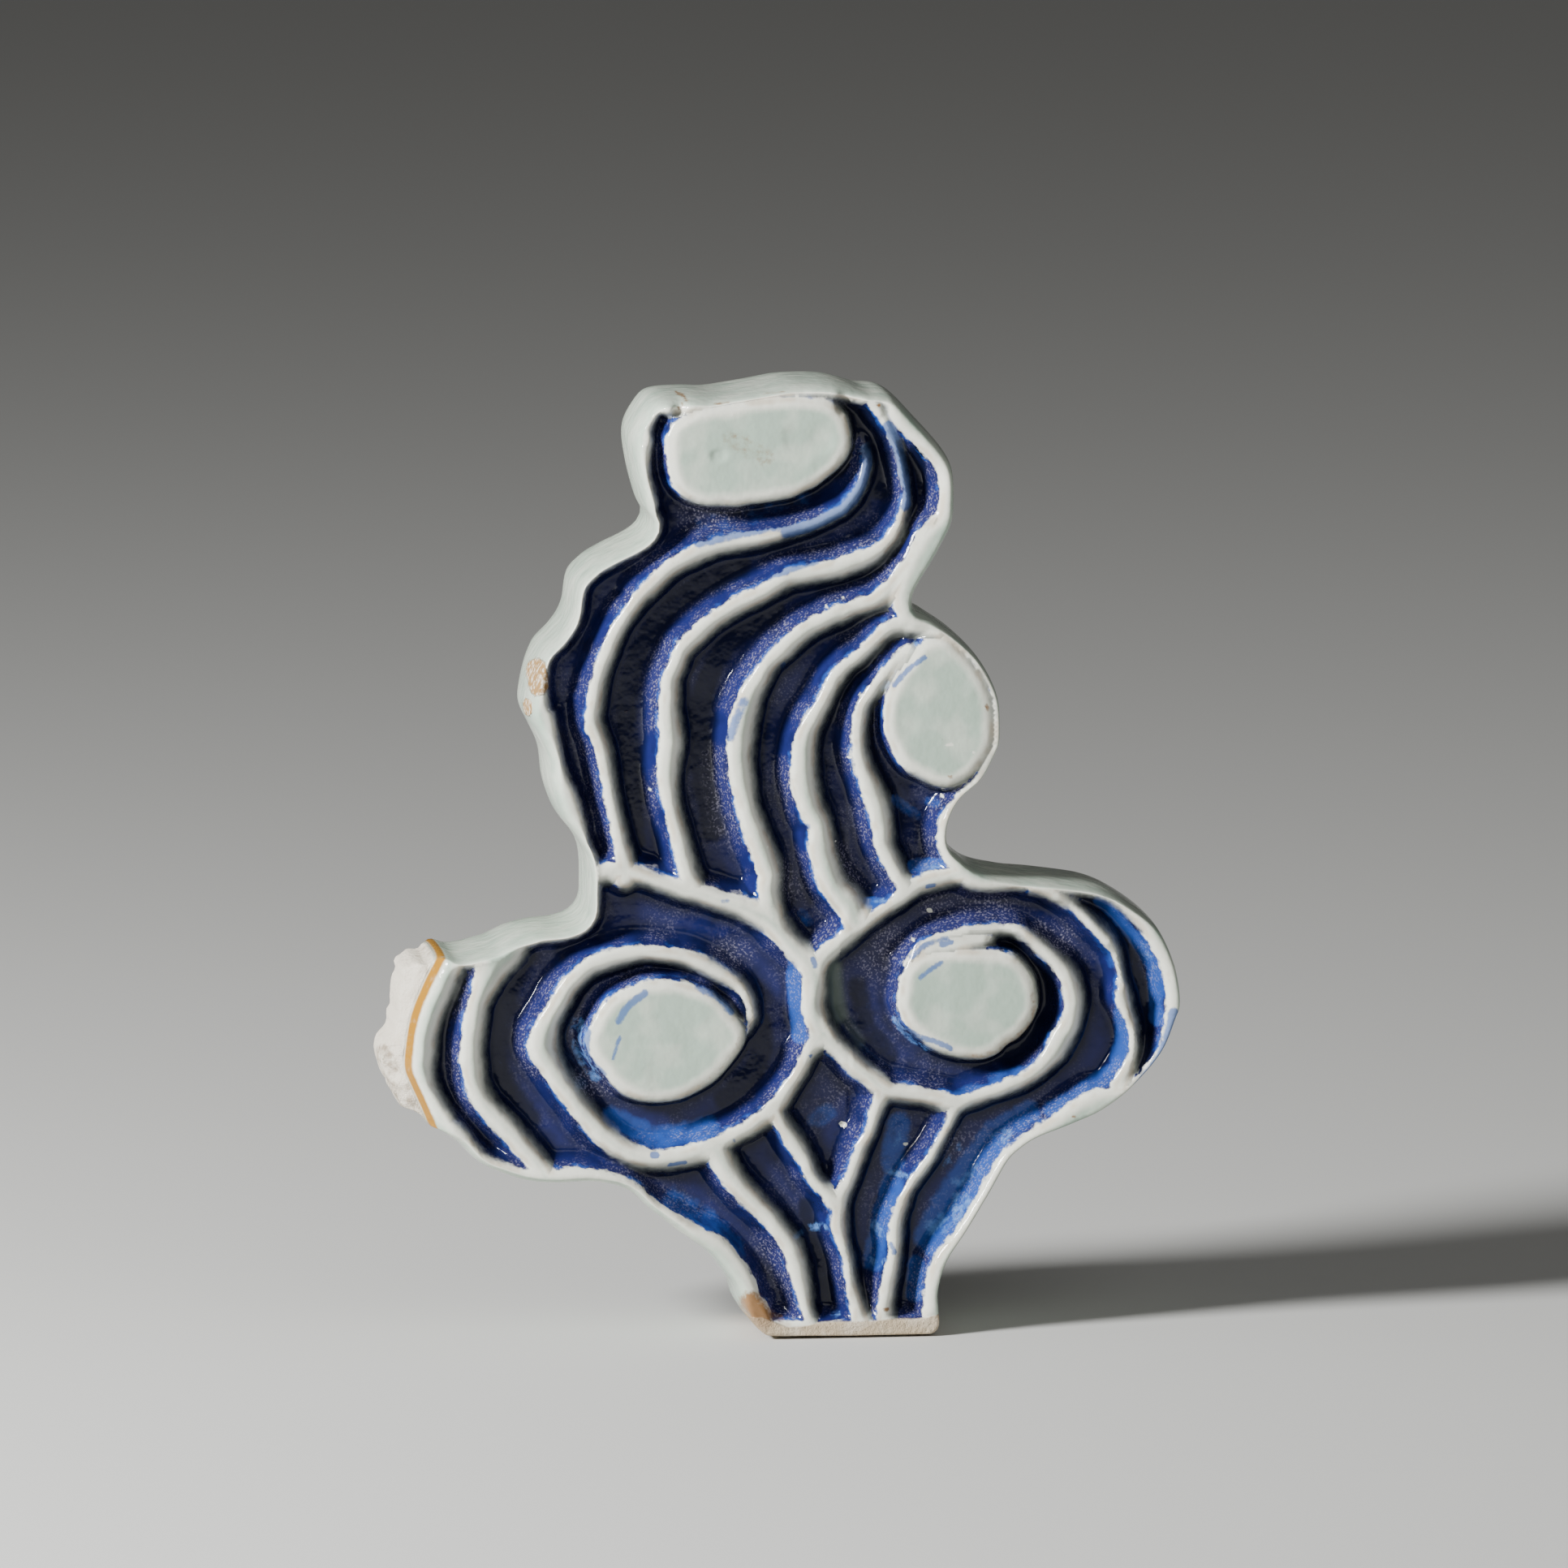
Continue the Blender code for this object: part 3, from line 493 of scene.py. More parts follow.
# How finely the outline, the faces and the side are cut, how squarely the side is rounded, how narrow the
# rim gets, and what share of the rim the side may swell by.
RING_EVERY = 0.55
FRONT_EVERY = 0.34
BACK_EVERY = 0.75
SIDE_ROWS = 17
BACK_ROWS = 10
ROUNDNESS = 2.3
LEAST_RIM = 0.9
SWELL_OF_RIM = 0.62
MOST_SWELL_OF_RIM = 0.75


def inset(share, swell):
    """How far in the rounded side lies, at this share of the way from the middle to a face."""
    return swell * (1 - (1 - np.abs(share) ** ROUNDNESS) ** (1 / ROUNDNESS))


edge = evenly(flowing(outline, closed=True, every=0.3), RING_EVERY)
side = as_cut(edge[:, :2], 0)
side[:, 1] = np.maximum(side[:, 1], 0)
heading = np.roll(side, -2, axis=0) - np.roll(side, 2, axis=0)
heading /= np.hypot(*heading.T)[:, None]
outward = np.column_stack([heading[:, 1], -heading[:, 0]])
jagged = 0.45 * wobble(side, 2.1, 34) + 0.25 * wobble(side, 0.9, 35) - 0.35
side = side + outward * (jagged * eased(past_glaze(edge[:, :2]), 0.4, 1.6))[:, None]
shift = outward[:, 0] * math.sin(seen_from_left) * HALF_THICK
shift -= outward[:, 1] * math.sin(seen_from_above) * HALF_THICK
rim_width = smoothed(np.maximum(edge[:, 2] + shift, LEAST_RIM))
swell = smoothed(np.minimum(edge[:, 3], SWELL_OF_RIM * rim_width))

# The outline was drawn round what is seen, so the middle of the thick side lies a little inside it.
shares = np.linspace(-1, 1, 41)[:, None]
seen_past = (shares * shift - inset(shares, swell)).max(axis=0)
clear_of_foot = eased(side[:, 1], 0.5, 4)
clear_of_break = 1 - eased(past_glaze(edge[:, :2]), -5, -1)
seen_past = smoothed(seen_past * clear_of_foot * clear_of_break)
side = side - outward * seen_past[:, None]
rim_width = np.maximum(rim_width - seen_past, LEAST_RIM - 0.05)
swell = np.minimum(swell, MOST_SWELL_OF_RIM * rim_width)
ring = side - outward * swell[:, None]
ring[:, 1] = np.maximum(ring[:, 1], 0)
rim_line = np.column_stack([side, rim_width])
rim_line = np.vstack([rim_line, rim_line[:1]])

# The top of the bare strip round the foot, across and up
foot_strip = np.array([(-11, 2.7), (-8, 1.35), (-4, 1.75), (0, 1.85), (4, 2.1), (8, 2.0), (11, 2.6)])


def above_foot_strip(across, up):
    """How far above the bare strip a point of the piece is."""
    return up - np.interp(across, *foot_strip.T)


def face(every, ridges, dents, deep, wider_rim, waver):
    """Cuts one face: its points across and up, its triangles, and what the carving says there."""
    spread = honeycomb(ring.min(axis=0), ring.max(axis=0), every)
    spread = spread[inside(ring, spread)]
    near, _, _ = nearest(np.vstack([ring, ring[:1]]), spread)
    spread = spread[near > 0.55 * every]
    cut = np.vstack([ring, spread])
    count = len(ring)
    loop = [(i, (i + 1) % count) for i in range(count)]
    points, _, triangles, *_ = delaunay_2d_cdt([Vector(p) for p in cut], loop, [], 1, 1e-7)
    if len(points) != len(cut):
        raise RuntimeError(f"the outline crosses itself: {len(points)} points from {len(cut)}")
    forward, from_white, lit = carved(cut, ridges, dents, deep, wider_rim, waver)
    strip = 1 - eased(above_foot_strip(cut[:, 0], cut[:, 1]), -0.3, 0.5)
    forward = forward * (1 - strip) + (HALF_THICK - 0.2) * strip
    forward, past_break = broken_off(cut, forward)
    from_white = np.minimum(from_white, -past_break - 0.8)
    return cut, np.array(triangles), forward, from_white, lit, past_break


front_cut, front_triangles, front_forward, front_white, front_lit, front_past = face(
    FRONT_EVERY, front_ridges, front_dents, CARVED_DEEP, wider_rim=0, waver=1)
back_cut, back_triangles, back_forward, back_white, back_lit, back_past = face(
    BACK_EVERY, back_ridges, [], BACK_CARVED_DEEP, wider_rim=0.7, waver=1.6)

# The side, in rows from the front face to the back one
count = len(ring)
turned = np.concatenate([
    1 - (np.arange(1, SIDE_ROWS) / SIDE_ROWS) ** 1.5,
    [0.0],
    -(1 - (1 - np.arange(1, BACK_ROWS) / BACK_ROWS) ** 1.5),
])
side_points = []
for share in turned:
    tall = front_forward[:count] if share >= 0 else back_forward[:count]
    row = side - outward * inset(share, swell)[:, None]
    side_points.append(np.column_stack([row[:, 0], -tall * share, row[:, 1]]))
front_points = np.column_stack([front_cut[:, 0], -front_forward, front_cut[:, 1]])
back_points = np.column_stack([back_cut[:, 0], back_forward, back_cut[:, 1]])
rows = len(side_points)
points = np.vstack([front_points, *side_points, back_points])
first_side = len(front_points)
first_back = first_side + rows * count

around = np.arange(count)
ahead = (around + 1) % count
row_starts = [0, *(first_side + count * row for row in range(rows)), first_back]
quads = []
for this_row, next_row in zip(row_starts, row_starts[1:]):
    quads.append(np.column_stack([this_row + around, next_row + around, next_row + ahead, this_row + ahead]))
quads = np.vstack(quads)
side_triangles = np.vstack([quads[:, [0, 1, 2]], quads[:, [0, 2, 3]]])
triangles = np.vstack([front_triangles, side_triangles, first_back + back_triangles[:, ::-1]])

# It keeps a hair inside the solid's box and stands on the ground
HAIR = 0.002
low = np.array(foot_corner) / millimetre + HAIR
high = np.array(top_corner) / millimetre - HAIR
low[2] = 0
points = np.clip(points, low, high)

finial_mesh = bpy.data.meshes.new("finial_glazed")
finial_mesh.from_pydata((points * millimetre).tolist(), [], triangles.tolist())
finial_mesh.shade_smooth()
finial = bpy.data.objects.new("finial_glazed", finial_mesh)
bpy.context.scene.collection.objects.link(finial)


# The brush strokes and marks that the glaze shows on the front: half width, strength, then the points
# along each. First blue that strayed thinly over the white.
thin_blue = [
    (1.0, 1.0, (36.9, 30.2), (39.2, 33), (40.6, 36.5), (41, 39)),
    (0.9, 0.8, (-17.5, 96.9), (-10, 98.6), (-5, 99.4)),
    (0.8, 0.8, (-12.5, 91.4), (-8, 93.2), (-3, 94.8)),
    (0.8, 0.7, (-13.7, 73), (-13, 75), (-11.9, 77.5)),
    (0.5, 0.5, (-31.8, 74), (-32, 77), (-31.3, 80)),
    (0.65, 0.8, (-24.2, 41.8), (-26.4, 40), (-27.4, 38.3)),
    (0.35, 0.7, (-27.3, 36.4), (-28.1, 33.7)),
    (0.6, 0.8, (-31.2, 37), (-31.2, 34), (-29.2, 31.6)),
    (0.7, 0.7, (-17.7, 42.4), (-15.4, 41.3), (-13.6, 39.4)),
    (0.45, 0.75, (9.6, 43.6), (10.8, 44.6), (12.2, 45.4)),
    (0.35, 0.9, (12.3, 47.5), (13.6, 47.9)),
    (0.5, 0.8, (7.8, 37.3), (9.8, 36.2), (11.6, 35.7), (13.4, 34.8)),
    (0.5, 0.7, (8.6, 46.1), (10.5, 47.6), (13, 48.4)),
    (0.45, 0.8, (6.4, 79.5), (8.2, 81.5), (10.1, 83)),
    (0.7, 0.7, (-7.5, 60.8), (-4.3, 62)),
    (0.45, 0.9, (-3.5, 45.8), (-3.2, 44.9)),
    (0.45, 0.6, (-14.6, 53), (-14, 53)),
    (0.5, 0.9, (-23.2, 21.7), (-22.7, 21.7)),
    (0.45, 0.9, (10.6, 54.7), (11.4, 54.9)),
    (0.45, 0.9, (-21, 20.5), (-19.2, 20.7)),
    (0.3, 0.9, (-3.8, 33.9), (-3.7, 33.9)),
    (0.5, 0.8, (6.2, 10.6), (6.5, 9.7)),
    (0.3, 0.6, (-13.3, 23.6), (-13, 23.2)),
    (1.3, 1.0, (-6.5, 98.3), (-4, 99), (-0.5, 100.7), (1.6, 102.6), (3, 106.5), (3, 108)),
    # This stroke is partly blue that strayed over the upper end of the second ridge and partly painted shade
    # there.
    (1.0, 1.0, (8, 101.5), (7.8, 105.5), (6.6, 109.5), (5.8, 111)),
    (0.5, 0.9, (-6.9, 81.7), (-6.6, 80.8)),
]
# Where the blue in the grooves is brighter, and where it is washed out to a milky one
bright_blue = [
    (2.6, 1.0, (11.5, 11), (14.2, 16), (19, 22.5)),
    (2.0, 0.8, (6.6, 20.5), (7.6, 25)),
    (1.6, 0.8, (4.2, 8), (5.2, 13), (6.6, 18)),
    (1.8, 0.8, (19, 24), (23.5, 26.6)),
    (1.2, 0.8, (9.2, 4), (9.6, 8)),
    (2.2, 0.6, (-20.5, 15.6), (-16, 13), (-13, 9.5)),
    (1.6, 0.7, (-2.6, 25.6), (-1.4, 26.4)),
    (1.0, 0.6, (7, 65), (9.6, 63)),
    (0.9, 0.6, (11.2, 64.8), (11.8, 64.8)),
    (0.9, 0.9, (9, 57), (12.5, 57.5)),
    (0.8, 0.9, (3.2, 52.5), (5.2, 52.6)),
    (1.1, 0.9, (34.6, 39), (34.9, 36), (34.2, 32.6)),
    (1.0, 0.9, (32, 53), (36, 48.6), (38.7, 44), (39.1, 38)),
    (1.8, 0.8, (-28, 26), (-22, 23.6), (-16, 24.8)),
    (1.0, 1.0, (-5.6, 46), (-5.5, 41), (-5, 36)),
    (1.6, 0.4, (-17, 98.4), (-10, 100.2), (-4, 102)),
    (1.3, 0.7, (19, 30.5), (22, 31.5)),
    (1.3, 0.8, (26, 27), (30, 29.3), (33.5, 31.5)),
    (1.0, 0.6, (-4.4, 51), (-3.6, 50)),
    (1.0, 0.8, (14.5, 28.9), (17, 29.6)),
    (0.8, 0.6, (30.5, 50.5), (33.6, 45)),
]
washed_blue = [
    (0.9, 1.0, (-31.9, 37.6), (-32, 34.4), (-29.9, 31)),
    (0.6, 0.9, (7, 38), (8.6, 36), (11, 34.5)),
    (0.5, 0.9, (5, 79), (7, 82.2), (9.2, 84.4)),
    (0.5, 0.9, (6.2, 19.1), (8, 18.9)),
    (0.8, 0.9, (4.6, 12.6), (5.2, 11.9)),
    (0.6, 0.8, (4, 8.2), (5, 7.8), (5.6, 8.4)),
    (0.7, 0.9, (-3.2, 12.3), (-2, 12.5)),
    (0.8, 0.8, (19, 23), (21, 24)),
    (1.3, 0.9, (11.5, 12.2), (13.6, 13.6), (15.2, 15.6)),
    (0.9, 0.7, (14.6, 17.6), (17, 19.4)),
    (0.7, 0.6, (13.4, 20), (15, 22)),
    (0.7, 0.6, (6.6, 22), (7.4, 23.4)),
    (0.4, 0.7, (-1, 1.6), (0.2, 1.9)),
    (0.4, 0.8, (3.2, 52), (5.5, 53)),
    (0.4, 0.8, (10.4, 56.6), (12.4, 57.3)),
    (0.6, 0.5, (37.4, 47.2), (38.6, 44.5)),
]
# Brown stains and pinholes, white specks, painted glints where light catches the glaze's bubbles, and the
# places where the blue is darkest, from thick cobalt and from painted shadow
stained = [
    (0.35, 1.0, (-36.5, 80), (-36.4, 79.6)),
    (0.3, 0.8, (28.5, 26.4), (28.7, 26.4)),
    (0.35, 0.9, (5.4, 2.6), (5.8, 2.6)),
    (0.3, 0.9, (4.5, 113.7), (4.6, 113.7)),
    (0.35, 0.8, (17.8, 77), (17.9, 76.6)),
    (0.35, 0.8, (13.2, 68.3), (13.4, 68.3)),
    (0.3, 0.6, (-32.6, 18.4), (-32.4, 18.4)),
    (1.9, 0.95, (-11.2, 3.4), (-9.8, 1.6)),
    (0.8, 0.5, (-8.8, 2), (-7.5, 1.3)),
    (1.8, 0.42, (-13.5, 109.5), (-9.5, 107.6)),
    (0.35, 0.75, (-20.4, 115.4), (-19.1, 114.7), (-19.8, 113.2)),
    (0.3, 0.55, (-16, 113.8), (-13.7, 114.1)),
    (0.25, 0.5, (-9.4, 115.2), (-7, 115.4)),
    (0.6, 0.45, (23.6, 41.5), (23.4, 38.5), (21.8, 36.3), (19.2, 34.5), (16, 33.8)),
    (0.5, 0.35, (-12.4, 36.4), (-14.4, 32.8), (-17.8, 30)),
    (0.9, 0.3, (18, 56.6), (19.6, 55.8)),
]
white_specks = [
    (0.42, 1.0, (0.5, 25), (0.75, 24.9)),
    (0.3, 0.9, (8.2, 22.5), (8.4, 22.5)),
    (0.3, 0.8, (12.8, 72.2), (13.5, 72.3)),
    (0.3, 0.8, (16.1, 71.3), (16.2, 71.3)),
    (0.3, 0.8, (-15.6, 88.6), (-15.5, 88.6)),
    (0.3, 0.8, (-23.3, 66.4), (-23.2, 66.4)),
    (0.3, 0.8, (-9.1, 59.5), (-9, 59.5)),
    (0.3, 0.7, (-0.5, 60), (-0.4, 60)),
    (0.3, 0.8, (12.6, 65.6), (12.7, 65.6)),
    (0.3, 0.8, (1, 70.5), (1.1, 70.5)),
    (0.3, 0.8, (2.6, 65.8), (2.7, 65.8)),
    (0.3, 0.7, (0.3, 90), (0.4, 90)),
    (0.3, 0.7, (-1.8, 89), (-1.7, 89)),
    (0.35, 0.9, (11.1, 51.4), (11.4, 51.3)),
    (0.3, 0.7, (8.9, 48), (9, 48.1)),
]
# Painted glints: where light catches the glaze's bubbles in fine pale specks
glint_patches = [
    (2.6, 0.9, (-17.5, 99.6), (-13.5, 100.4)),
    (2.0, 0.8, (-31.5, 30.2), (-28.5, 30.2)),
    (2.2, 1.0, (4.3, 44.6), (6.6, 47.6)),
    (2.2, 0.9, (25, 48.2), (27.5, 47.6)),
    (2.0, 0.7, (-14, 46.4), (-12, 46)),
    (2.2, 0.7, (12, 51.4), (20, 51.8)),
    (2.0, 0.6, (-1, 28), (0, 29.5)),
    (2.0, 0.6, (-7, 56), (-5, 54)),
    (2.0, 0.7, (0, 58), (1.5, 55)),
    (2.0, 0.6, (-14, 62), (-15, 70)),
    (2.2, 0.6, (15, 22), (17.5, 23)),
    (2.0, 0.6, (-8.5, 10), (-7, 6)),
]
# Where the blue is darkest: the cobalt pooled thick, and painted shadow in the deepest grooves
deep_blue_and_shadow = [
    (1.7, 0.9, (-25, 60), (-25.5, 70), (-26, 77), (-24, 84), (-19, 90), (-12, 93.6)),
    (1.8, 0.9, (-15.5, 61), (-16.8, 70), (-16.8, 77), (-14, 83.5), (-8, 88.5)),
    (2.4, 0.9, (-40.5, 43), (-42, 37), (-42, 31), (-38.5, 26)),
    (1.7, 0.9, (2.6, 112.5), (4.8, 108), (5.2, 103)),
    (1.2, 0.9, (9.4, 108), (10, 103)),
    (1.7, 0.9, (20.5, 47.9), (24.4, 44.8), (25.8, 40.5), (24.6, 36.4), (21, 33.3)),
    (1.8, 0.9, (-11.2, 40), (-9.3, 36), (-10.5, 31.5), (-14, 28.2)),
    (1.5, 0.9, (30, 53.4), (34.2, 48.8), (36.8, 42), (37.8, 36), (36.8, 32.5)),
    (1.3, 0.8, (-4, 15), (-2.6, 10), (-1.3, 3.4)),
    (1.6, 0.8, (2.4, 42), (3.6, 37), (6.4, 33.6)),
    (1.6, 0.6, (17, 26.4), (24, 30)),
]
# The bare chip on the left edge, a pale painted reflection in a hollow beside the middle, and the pits in
# the broken face
chipped = [
    (1.3, 1.0, (-37.5, 81.5), (-37.1, 79.5)),
    (0.6, 0.8, (-38.6, 77.3), (-38.5, 76.4)),
]
reflection_patch = [
    (1.1, 0.8, (-0.5, 44.2), (-0.2, 41), (0.3, 38.4)),
    (0.8, 0.35, (1.2, 37.6), (2.6, 35.2)),
]
pitted = [
    (1.5, 1.0, (-56.4, 34.2), (-55, 31.6)),
    (1.6, 1.0, (-54.6, 30), (-51.8, 27)),
    (0.8, 0.6, (-52, 46.6), (-50, 46.9)),
]


def mark(name, values):
    """Writes one number a point on the mesh, for the glaze to read."""
    layer = finial_mesh.attributes.new(name, "FLOAT", "POINT")
    layer.data.foreach_set("value", np.asarray(values, dtype=np.float32))


def mark_seen(name, strokes):
    """Daubs the strokes on the front face and on what shows of the side."""
    cover = np.zeros(len(points))
    cover[:first_back] = daubed(seen, strokes)
    mark(name, cover)


side_part = points[first_side:first_back]
seen = np.vstack([as_drawn(front_cut, HALF_THICK), as_drawn(side_part[:, [0, 2]], -side_part[:, 1])])
for name, strokes in (
    ("thin_blue", thin_blue), ("bright_blue", bright_blue), ("washed_blue", washed_blue),
    ("stained", stained), ("white_speck", white_specks), ("glint_patches", glint_patches), ("reflection_patch", reflection_patch),
    ("deep_blue_and_shadow", deep_blue_and_shadow), ("chipped", chipped), ("pitted", pitted),
):
    mark_seen(name, strokes)

side_white = np.minimum((front_white[:count] + back_white[:count]) / 2, -1.6)
side_past = past_glaze(as_drawn(side_part[:, [0, 2]], BREAK_FORWARD))
mark("from_white", np.clip(np.concatenate([front_white, np.tile(side_white, rows), back_white]), -3, 5))
mark("lit_side", np.concatenate([front_lit, np.ones(rows * count), back_lit]))
mark("past_break", np.clip(np.concatenate([front_past, side_past, back_past]), -6, 6))
uneven = 0.15 * wobble(np.column_stack([points[:, 0] + points[:, 1], points[:, 1]]), 2.2, 41)
mark("above_strip", np.clip(above_foot_strip(points[:, 0], points[:, 2]) + uneven, -3, 6))


# The glaze and the colours under it
CELADON = (0.40, 0.51, 0.42, 1)
WARM_WHITE = (0.78, 0.79, 0.69, 1)
# Grey-green: the painted shade on the ridges' shaded sides, and the painted reflection near the middle
GREEN_GREY = (0.13, 0.17, 0.14, 1)
THIN_TAN = (0.50, 0.38, 0.25, 1)
# The darkest blue: the cobalt's own darker tone, and also the painted shade in the grooves
DARK_COBALT_AND_SHADE = (0.004, 0.006, 0.022, 1)
COBALT = (0.011, 0.015, 0.092, 1)
BRIGHT_COBALT = (0.022, 0.075, 0.33, 1)
WASHED_COBALT = (0.06, 0.14, 0.38, 1)
PALE_WASH = (0.10, 0.23, 0.55, 1)
# Pale lavender of the painted glints
GLINT_LAVENDER = (0.50, 0.47, 0.60, 1)
BARE_CLAY = (0.52, 0.42, 0.29, 1)
BROKEN_CLAY = (0.74, 0.68, 0.57, 1)
BROKEN_GREY = (0.36, 0.30, 0.23, 1)
CHIP_CLAY = (0.34, 0.20, 0.075, 1)
IRON_LINE = (0.36, 0.17, 0.018, 1)
IRON_STAIN = (0.26, 0.14, 0.06, 1)
GLAZE_IOR = 1.5
GLAZE_SHINE = 0.3

glaze = bpy.data.materials.new("glazed_porcelain")
glaze.use_nodes = True
nodes = glaze.node_tree.nodes
links = glaze.node_tree.links
shader = nodes["Principled BSDF"]
shader.inputs["IOR"].default_value = GLAZE_IOR
shader.inputs["Specular IOR Level"].default_value = GLAZE_SHINE


def fill(slot, value):
    """Links a slot to another node's output, or sets it to a number or a colour."""
    if isinstance(value, bpy.types.NodeSocket):
        links.new(value, slot)
    else:
        slot.default_value = value


def put(kind, settings=None, **inputs):
    """Adds a node, sets its settings and fills its inputs. Returns its first output."""
    node = nodes.new(kind)
    for name, value in (settings or {}).items():
        setattr(node, name, value)
    for name, value in inputs.items():
        fill(node.inputs[name], value)
    return node.outputs[0]


def maths(operation, a, b=0.0, c=0.0):
    """One step of arithmetic."""
    node = nodes.new("ShaderNodeMath")
    node.operation = operation
    for slot, value in zip(node.inputs, (a, b, c)):
        fill(slot, value)
    return node.outputs[0]


def ramp(value, low, high):
    """Goes smoothly from 0 at low to 1 at high."""
    return put("ShaderNodeMapRange", {"interpolation_type": "SMOOTHSTEP"},
               **{"Value": value, "From Min": low, "From Max": high})


def falling(value, low, high):
    """Goes smoothly from 1 at low to 0 at high."""
    return maths("SUBTRACT", 1.0, ramp(value, low, high))


def blend(share, a, b):
    """Mixes two colours, with this share of the second."""
    node = nodes.new("ShaderNodeMix")
    node.data_type = "RGBA"
    for identifier, value in (("Factor_Float", share), ("A_Color", a), ("B_Color", b)):
        fill(next(s for s in node.inputs if s.identifier == identifier), value)
    return next(s for s in node.outputs if s.identifier == "Result_Color")


def marked(name):
    """Reads a mark that was written on the mesh."""
    node = nodes.new("ShaderNodeAttribute")
    node.attribute_name = name
    return node.outputs["Fac"]


on_piece = nodes.new("ShaderNodeTexCoord").outputs["Object"]


def cloudy(grain_mm, detail=2.0, roughness=0.5):
    """Soft cloudy noise, with clouds about this wide."""
    return put("ShaderNodeTexNoise", None, Vector=on_piece, Scale=1 / (grain_mm * millimetre),
               Detail=detail, Roughness=roughness)


def ragged(share, grain_mm, amount):
    """A share with its edge broken up by noise."""
    return maths("MULTIPLY_ADD", cloudy(grain_mm, 3.0, 0.6), amount, maths("SUBTRACT", share, amount / 2))


from_white = marked("from_white")
past_break = marked("past_break")
above_strip = marked("above_strip")
lit_side = ramp(marked("lit_side"), -0.35, 0.35)
shade_side = maths("SUBTRACT", 1.0, lit_side)

# The blue in the grooves, with painted shade: nearly black on the shaded side of each ridge, where its
# edge is also softer, and with painted light: a bright ragged edge on the lit one
paint_edge = ragged(from_white, 1.3, 1.0)
softness = maths("MULTIPLY_ADD", shade_side, 0.8, 0.14)
painted = ramp(maths("DIVIDE", paint_edge, softness), -1.0, 1.0)
# Painted shade: the blue darkens beside the shaded side of a ridge, and not on its lit side.
ragged_lit_side = ramp(ragged(marked("lit_side"), 3.0, 0.9), -0.5, 0.7)
shaded = maths("MULTIPLY", maths("SUBTRACT", 1.0, ragged_lit_side), falling(from_white, 1.2, 3.4))
blue = blend(shaded, COBALT, DARK_COBALT_AND_SHADE)
blue = blend(maths("MULTIPLY", ramp(cloudy(4.0, 3.0), 0.50, 0.70), 0.45), blue, DARK_COBALT_AND_SHADE)
# Pooled cobalt and painted shadow: these strokes turn the blue near black.
pooled_and_shadowed = ramp(ragged(marked("deep_blue_and_shadow"), 2.0, 0.7), 0.15, 0.9)
blue = blend(maths("MULTIPLY", pooled_and_shadowed, 0.9), blue, DARK_COBALT_AND_SHADE)
# Painted light: the paint's ragged edge is bright blue only on the lit side of a ridge.
lit_edge_light = maths("MULTIPLY", falling(paint_edge, 0.05, 0.5), lit_side)
lit_edge_light = maths("MULTIPLY", lit_edge_light, ramp(cloudy(2.4, 2.0), 0.44, 0.60))
blue = blend(maths("MULTIPLY", lit_edge_light, 0.9), blue, BRIGHT_COBALT)
streaky = ramp(ragged(marked("bright_blue"), 1.6, 0.9), 0.3, 0.9)
blue = blend(maths("MULTIPLY", streaky, 0.8), blue, BRIGHT_COBALT)
milky = maths("MULTIPLY", ramp(ragged(marked("washed_blue"), 0.7, 1.4), 0.2, 1.1),
              ramp(cloudy(1.5, 3.0, 0.65), 0.40, 0.62))
blue = blend(milky, blue, PALE_WASH)
# Painted glints: fine pale specks where light catches the glaze's bubbles, mostly on the lit side of the
# grooves
glint_grain = ramp(cloudy(0.28, 1.0), 0.50, 0.70)
glint_where = maths("MULTIPLY", ragged_lit_side, ramp(cloudy(5.0, 2.0), 0.36, 0.60))
glint_where = maths("MULTIPLY", glint_where, maths("SUBTRACT", 1.0, pooled_and_shadowed))
glint_where = maths("MAXIMUM", marked("glint_patches"), maths("MULTIPLY", glint_where, 0.65))
glints = maths("MULTIPLY", maths("MULTIPLY_ADD", glint_grain, 0.40, 0.03), glint_where)
blue = blend(glints, blue, GLINT_LAVENDER)

# The white: thin and warm on the edges, thick and green where it lies flat
thick = falling(ragged(from_white, 3.0, 0.8), -2.0, -0.8)
white = blend(thick, WARM_WHITE, CELADON)
white = blend(maths("MULTIPLY", ramp(cloudy(4.5), 0.42, 0.66), 0.35), white, WARM_WHITE)
# Painted shade: on the shaded side of a ridge the white turns grey-green towards the groove.
shaded_flank = maths("MULTIPLY", ramp(from_white, -1.0, 0.5), shade_side)
white = blend(maths("MULTIPLY", shaded_flank, 0.75), white, GREEN_GREY)
tan_edge = maths("MULTIPLY", ramp(from_white, -1.0, -0.45), falling(from_white, -0.3, 0.0))
tan_edge = maths("MULTIPLY", tan_edge, ramp(cloudy(3.5, 2.0), 0.45, 0.62))
white = blend(maths("MULTIPLY", tan_edge, 0.45), white, THIN_TAN)
wash = ramp(ragged(marked("thin_blue"), 0.9, 0.8), 0.3, 0.75)
white = blend(maths("MULTIPLY", wash, 0.85), white, WASHED_COBALT)
colour = blend(painted, white, blue)
# Painted reflection: a pale patch where the room shows in a hollow of the glaze.
colour = blend(maths("MULTIPLY", marked("reflection_patch"), 0.85), colour, GREEN_GREY)
colour = blend(ramp(ragged(marked("stained"), 0.7, 0.9), 0.25, 0.9), colour, IRON_STAIN)
colour = blend(ramp(marked("white_speck"), 0.35, 0.7), colour, WARM_WHITE)
chip_face = ramp(ragged(marked("chipped"), 0.9, 0.6), 0.12, 0.35)
chip_clay = blend(ramp(cloudy(0.6, 3.0), 0.45, 0.70), CHIP_CLAY, BROKEN_CLAY)
colour = blend(chip_face, colour, chip_clay)

